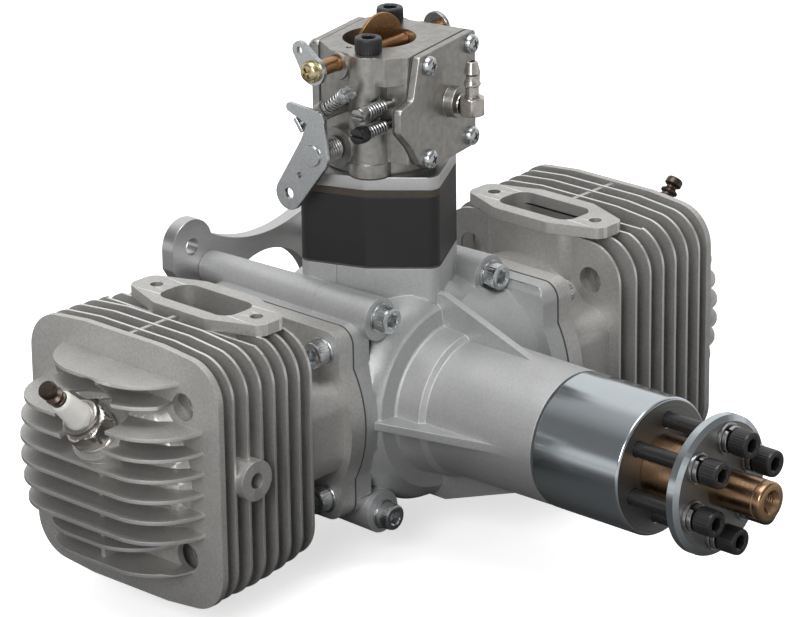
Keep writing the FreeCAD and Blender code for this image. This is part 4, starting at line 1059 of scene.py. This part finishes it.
@dataclass(frozen=True)
class Carburettor:
    """The carburettor's small pieces: screws, needles, springs, fuel inlet and the choke shaft's disc."""

    top: float = 113.0
    screw_reach: float = 16.5
    screw_yaw: float = 31.0
    front_seat: float = -22.3
    rear_seat: float = 17.6
    choke_z: float = 109.5
    throttle_z: float = 82.5
    lever_x: float = -30.9
    choke_lever_x: float = -30.0
    spring_end_x: float = -21.7
    disc_x: float = 27.0
    nipple: tuple[float, float, float] = (5.4, -30.05, 93.6)
    nipple_flats: float = 7.5

    def screws(self) -> None:
        """The two long screws and the eight cover screws."""
        turn = math.radians(self.screw_yaw)
        places = tuple(towards((0, 0, 1), (CARB_X + reach * math.cos(turn), reach * math.sin(turn), self.top))
                       for reach in (-self.screw_reach, self.screw_reach))
        ScrewSet("carb_screws", SocketScrew(79.0), places, BLACK_STEEL, "black_steel").build()
        covers = [on_carb(CARB_YAW) @ towards((0, way, 0), (u + du, seat, z + dz))
                  for way, seat, u, z, wide, tall in ((-1, self.front_seat, 4.5, 94.2, 13.0, 15.1),
                                                      (1, self.rear_seat, 2.7, 94.0, 11.0, 15.0))
                  for du, dz in four(wide, tall)]
        ScrewSet("cover_screws", PanScrew(), tuple(covers), BRIGHT_STEEL, "bright_steel").build()
        lever = on_carb(SHAFT_YAW) @ towards((-1, 0, 0), (self.choke_lever_x - 1.6, 0.0, self.choke_z))
        pan = PanScrew(head_r=3.5, head=2.6, shank_r=1.4, length=1.2, turn=35.0)
        ScrewSet("choke_lever_screw", pan, (lever,), YELLOW_ZINC, "brass", "choke").build()

    def inlet(self) -> None:
        """The fuel inlet: hexagonal elbow, stub and barbed pipe."""
        form = Form()
        u, v, z = self.nipple
        frame = on_carb(CARB_YAW)
        nut = hexagonal(self.nipple_flats)
        half = self.nipple_flats / 2
        cut = hexagonal(self.nipple_flats, half + 0.3)
        upright = frame @ Matrix.Translation((u, v, z))
        rows = [(half - 0.2, -2.9), (cut, -2.6), (nut, -2.2), (nut, 2.2), (cut, 2.6), (half - 0.2, 2.9)]
        form.rings(rows, upright, 48)
        form.lathe([(0, 2.7), (2.5, 2.7), (2.6, 3.2), (2.1, 3.9), (2.1, 6.2), (2.75, 7.0), (2.7, 7.4),
                    (1.95, 9.0), (1.95, 9.9), (2.65, 10.7), (2.55, 11.1), (1.75, 14.2), (1.45, 14.4),
                    (1.0, 14.4), (1.0, 11.0), (0, 11.0)], upright, 40)
        outlet = frame @ towards((0, 1, 0), (u, v + half - 0.3, z))
        form.lathe([(0, 0), (3.2, 0), (3.3, 0.3), (2.7, 0.7), (2.6, 0.88), (0, 0.88)], outlet, 40)
        form.finish("fuel_nipple", "turned", NICKEL, "zinc_carburettor")

    def spring(self) -> None:
        """The throttle's return spring."""
        place = on_carb(SHAFT_YAW) @ towards((1, 0, 0), (self.lever_x + 0.15, 0.0, self.throttle_z))
        length = self.spring_end_x - self.lever_x - 0.3
        coil = Form().spring(radius=3.45, wire=0.40, turns=7.0, length=length, place=place)
        coil.finish("throttle_spring", "wound", SPRING_STEEL, "bright_steel")

    def disc(self) -> None:
        """The cupped washer on the choke shaft's left-hand end."""
        place = on_carb(SHAFT_YAW) @ towards((1, 0, 0), (self.disc_x, 0.0, self.choke_z))
        outline = [(0, 0), (4.9, 0), (5.2, 0.3), (5.2, 1.3), (4.8, 1.6), (4.2, 1.5), (3.9, 0.9), (2.6, 0.8),
                   (2.5, 1.4), (0, 1.5)]
        form = Form().lathe(outline, place, 40)
        form.finish("choke_disc", "pressed", SPRING_STEEL, "bright_steel", "choke")

    def build(self) -> None:
        """Make every piece."""
        self.screws()
        self.inlet()
        self.spring()
        self.disc()
        Needle("high_needle", "high_spring", (-16.4, -15.4, 97.5), (-1, 0, 0), "high_adjuster", SPRING_STEEL,
               "bright_steel", head_r=2.3).build()
        Needle("low_needle", "low_spring", (-16.4, -15.4, 91.0), (-1, 0, 0), "low_adjuster", BLACK_STEEL,
               "black_steel", head_r=2.7, head=4.6).build()
        Needle("idle_screw", "idle_spring", (-27.3, -1.6, 96.7), (0, -0.8, 0.6), "idle_adjuster",
               BRIGHT_STEEL, "bright_steel", head=3.5, tip=8.0, reach=9.0).build()


# Propeller drive


@dataclass(frozen=True)
class PropellerDrive:
    """The bronze hub and stud, the six screws and their washers."""

    driver_front: float = -115.9
    washer_back: float = -134.8
    washer_front: float = -138.6
    stud_front: float = -157.7
    hub_r: float = 10.7
    stud_r: float = 6.2
    hole_r: float = 2.5
    pitch_r: float = 15.0
    count: int = 6
    turn: float = 9.5
    flat: float = 1.2
    split: float = 2.2
    split_thickness: float = 1.5
    gap_turn: float = 2.2
    grip: float = 14.0

    def places(self, y: float) -> list[Matrix]:
        """The six screws' axes at one height.

        Args:
            y: how far along the crank axis.

        Returns:
            The matrices, Z towards the propeller's front.
        """
        turns = [math.radians(self.turn) + step for step in clock(self.count)]
        return [towards((0, -1, 0), (self.pitch_r * math.sin(turn), y, self.pitch_r * math.cos(turn)))
                for turn in turns]

    def screws(self) -> None:
        """Long black socket screws with threaded feet."""
        seat = self.washer_front - self.flat - self.split
        length = self.driver_front - seat + self.grip
        screw = SocketScrew(length, head=6.3, thread=22.0)
        ScrewSet("prop_bolts", screw, tuple(self.places(seat)), BLACK_STEEL, "black_steel", "drive").build()

    def washers(self) -> None:
        """A flat washer and a split spring washer under each head."""
        form = Form()
        for place in self.places(self.washer_front):
            form.lathe(ring(2.7, 5.0, self.flat), place, 40)
            above = place @ Matrix.Translation((0, 0, self.flat)) @ Matrix.Rotation(self.gap_turn, 4, "Z")
            climb = self.split - self.split_thickness - 0.05
            form.coil(ring(2.7, 4.4, self.split_thickness), 0.965, climb, above, 44)
        form.finish("lock_washers", "cut", SPRING_STEEL, "bright_steel", "drive")

    def stud(self) -> None:
        """The bronze hub and stud with its tapped end."""
        form = Form()
        place = towards((0, -1, 0), (0.0, 0.0, 0.0))
        base, step, end = -self.driver_front, -self.washer_back - 0.05, -self.stud_front
        hub, stud, hole = self.hub_r, self.stud_r, self.hole_r
        form.lathe([(7.6, base), (hub - 0.2, base), (hub, base + 0.2), (hub, step - 0.3), (hub - 0.3, step),
                    (stud, step), (stud, end - 3.4), (stud - 0.35, end - 3.1), (stud - 0.35, end - 2.5),
                    (stud, end - 2.2), (stud, end - 0.9), (stud - 0.2, end - 0.4), (stud - 0.8, end),
                    (hole + 1.3, end), (hole + 0.15, end - 1.4), (hole + 0.15, end - 14), (0, end - 14),
                    (0, base + 2.05), (7.6, base + 2.05)], place, 72)
        ridge = [(hole + 0.25, 0.0), (hole - 0.15, 0.4), (hole + 0.25, 0.8)]
        form.coil(ridge, 14.0, 11.9, place @ Matrix.Translation((0, 0, end - 13.5)), 24)
        form.finish("hub_stud", "turned", BRONZE, "bronze", "drive")

    def build(self) -> None:
        """Make every piece."""
        self.screws()
        self.washers()
        self.stud()


# Studio


@dataclass
class Studio:
    """The white table, the soft lights and the camera."""

    eye: tuple[float, float, float] = (-939.02, -876.74, 507.54)
    look: tuple[float, float, float] = (0.6869, 0.63526, -0.35301)
    roll: float = -0.77
    lens: float = 193.98
    floor_z: float = -50.5
    room: Points = ((0.0, 0.30), (0.50, 0.75), (0.56, 0.75), (0.61, 0.22), (0.80, 0.20), (0.90, 0.45),
                    (1.0, 0.9))
    backdrop: Points = ((0.0, 0.0), (0.60, 0.0), (0.78, 0.9), (1.0, 0.9))
    # Painted shadow: the table's grey to all but camera rays, by distance from the engine, darker near it.
    table: Points = ((0.0, 0.10), (0.20, 0.10), (0.50, 0.6), (1.0, 0.7))
    table_glow: float = 0.62
    table_white: float = 0.95
    aim: tuple[float, float, float] = (0.0, -0.06, 0.02)

    def camera(self) -> None:
        """Set the camera at the photograph's viewpoint."""
        data = bpy.data.cameras.new("camera")
        data.sensor_width = 36.0
        data.lens = self.lens
        data.clip_end = 20.0
        made = placed("camera", data)
        forward = Vector(self.look).normalized()
        right = forward.cross(Z_AXIS).normalized()
        up = right.cross(forward)
        turn = math.radians(self.roll)
        level = right * math.cos(turn) + up * math.sin(turn)
        tall = level.cross(forward)
        frame = Matrix((level, tall, -forward)).transposed().to_4x4()
        eye = Vector((self.eye[0], self.eye[1] - MOUNT_TO_MID, self.eye[2])) * MM
        made.matrix_world = Matrix.Translation(eye) @ frame
        bpy.context.scene.camera = made

    def floor(self) -> None:
        """Lay the table: white to the camera, and to other rays darker near the engine as a painted shadow.
        """
        bm = bmesh.new()
        bmesh.ops.create_grid(bm, x_segments=1, y_segments=1, size=3.0)
        bmesh.ops.translate(bm, vec=(0, 0, self.floor_z * MM), verts=bm.verts)
        mesh = bpy.data.meshes.new("table")
        bm.to_mesh(mesh)
        bm.free()
        made = placed("table", mesh)
        paint = bpy.data.materials.new("white_table")
        paint.use_nodes = True
        shader = paint.node_tree.nodes["Principled BSDF"]
        tree = paint.node_tree
        seen = tree.nodes.new("ShaderNodeLightPath").outputs["Is Camera Ray"]
        reach = tree.nodes.new("ShaderNodeVectorMath")
        reach.operation = "LENGTH"
        tree.links.new(tree.nodes.new("ShaderNodeTexCoord").outputs["Object"], reach.inputs[0])
        # Painted shadow: to rays other than the camera's, the table darkens towards the engine.
        painted_shadow = stepped(tree, reach.outputs["Value"], self.table)
        tone = calc(tree, "MAXIMUM", painted_shadow, calc(tree, "MULTIPLY", seen, self.table_white))
        shade = tree.nodes.new("ShaderNodeCombineColor")
        for channel in ("Red", "Green", "Blue"):
            tree.links.new(tone, shade.inputs[channel])
        tree.links.new(shade.outputs[0], shader.inputs["Base Color"])
        shader.inputs["Emission Color"].default_value = WHITE
        tree.links.new(calc(tree, "MULTIPLY", seen, self.table_glow), shader.inputs["Emission Strength"])
        shader.inputs["Roughness"].default_value = 0.9
        shader.inputs["Specular IOR Level"].default_value = 0.1
        made.data.materials.append(paint)

    def lamp(self, name: str, at: Sequence[float], size: float, power: float) -> None:
        """Hang a square soft light that faces the engine.

        Args:
            name: the lamp's name.
            at: its place, in metres in the row's frame.
            size: its width in metres.
            power: its strength in watts.
        """
        data = bpy.data.lights.new(name, "AREA")
        data.size = size
        data.energy = power
        turn = (Vector(self.aim) - Vector(at)).to_track_quat("-Z", "Y")
        placed(name, data).matrix_world = Matrix.Translation(at) @ turn.to_matrix().to_4x4()

    def world(self) -> None:
        """Light everything evenly, and show pure white behind the engine."""
        world = bpy.data.worlds.new("white_room")
        world.use_nodes = True
        tree = world.node_tree
        back = tree.nodes["Background"]
        path = tree.nodes.new("ShaderNodeLightPath")
        parts = tree.nodes.new("ShaderNodeSeparateXYZ")
        tree.links.new(tree.nodes.new("ShaderNodeTexCoord").outputs["Generated"], parts.inputs[0])
        height = calc(tree, "ADD", calc(tree, "MULTIPLY", parts.outputs["Z"], 0.5), 0.5)
        along = calc(tree, "ADD", *[calc(tree, "MULTIPLY", parts.outputs[axis], share)
                                    for axis, share in (("X", 0.37), ("Y", 0.34))])
        behind = stepped(tree, calc(tree, "ADD", along, 0.5), self.backdrop)
        back.inputs["Color"].default_value = WHITE
        seen = path.outputs["Is Camera Ray"]
        lit = calc(tree, "MAXIMUM", stepped(tree, height, self.room), behind)
        lit = calc(tree, "MULTIPLY", lit, calc(tree, "SUBTRACT", 1.0, seen))
        tree.links.new(calc(tree, "ADD", lit, seen), back.inputs["Strength"])
        bpy.context.scene.world = world

    def build(self) -> None:
        """Set the stage."""
        bpy.context.scene.view_settings.view_transform = "Standard"
        self.world()
        self.floor()
        self.lamp("top", (-0.2, 0.0, 1.4), size=0.9, power=8.5)
        self.lamp("key", (-1.2, -0.6, 0.7), size=0.6, power=9.0)
        self.camera()


MANY_CORNERS = 60
# How far each node's edges are rounded, in millimetres, by material, slot and body
PLAIN_SKINS = {
    (CAST, "cast_aluminium", "engine"): {"front_case": 0.3, "rear_case": 0.3},
    (MACHINED, "machined_aluminium", "engine"): {"rear_mount_plate": 0.35, "adapter_plate": 0.3,
        "reed_cage": 0.0, "pistons": 0.0},
    (BLACK_STEEL, "black_steel", "engine"): {"mount_screws": 0.1},
    (GASKET, "gasket", "engine"): {"base_gaskets": 0.0, "intake_gasket": 0.0, "carb_gasket": 0.0,
        "cover_gaskets": 0.0},
    (BLOCK, "black_block", "engine"): {"reed_block": 0.3},
    (LAYER, "black_block", "engine"): {"insulator_layer": 0.1},
    (ZINC, "zinc_carburettor", "engine"): {"carb_body": 0.18, "front_cover": 0.4, "rear_cover": 0.4},
    (BRIGHT_STEEL, "bright_steel", "engine"): {"side_plate": 0.2},
    (SPRING_STEEL, "bright_steel", "engine"): {"reed_petals": 0.0},
    (COPPER, "bronze", "choke"): {"choke_shaft": 0.12, "choke_plate": 0.15},
    (BRIGHT_STEEL, "bright_steel", "choke"): {"choke_lever": 0.12},
    (BRIGHT_STEEL, "bright_steel", "throttle"): {"throttle_shaft": 0.15, "throttle_lever": 0.25},
    (COPPER, "bronze", "throttle"): {"throttle_plate": 0.15},
    (HARD_STEEL, "bearing_steel", "drive"): {"front_shaft": 0.2},
    (HARD_STEEL, "bearing_steel", "engine"): {"bearings": 0.4, "crank_throws": 0.4,
        "connecting_rods": 0.4, "piston_rings": 0.0, "wrist_pins": 0.2},
    (RUBBER, "seal_rubber", "engine"): {"oil_seal": 0.2},
}
# The cylinders' fin rims get a painted highlight; the driver's and washer's end faces get painted shade.
MARKED_SKINS = (
    CadSkin("left_cylinder", FIN_CAST, "cast_aluminium", 0.15, widest=MANY_CORNERS,
            accent=PaintedRimHighlight(Side.LEFT, FIN_RIM_HIGHLIGHT)),
    CadSkin("right_cylinder", FIN_CAST, "cast_aluminium", 0.15, widest=MANY_CORNERS,
            accent=PaintedRimHighlight(Side.RIGHT, FIN_RIM_HIGHLIGHT)),
    CadSkin("prop_driver", POLISHED, "polished_aluminium", 0.3, "drive", accent=FrontFace(PAINTED_SHADE_END_FACES)),
    CadSkin("prop_washer", POLISHED, "machined_aluminium", 0.0, "drive", sharp=12.0,
            accent=FrontFace(PAINTED_SHADE_END_FACES)),
)


def main() -> None:
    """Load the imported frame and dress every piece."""
    logging.basicConfig(level=logging.INFO)
    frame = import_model()
    for (finish, slot, body), edges in PLAIN_SKINS.items():
        for node, edge in edges.items():
            CadSkin(node, finish, slot, edge, body).build(frame)
    for skin in MARKED_SKINS:
        skin.build(frame)
    Crankcase().build()
    for side in Side:
        SparkPlug(side).build()
    Carburettor().build()
    PropellerDrive().build()
    Studio().build()


if __name__ == "__main__":
    main()
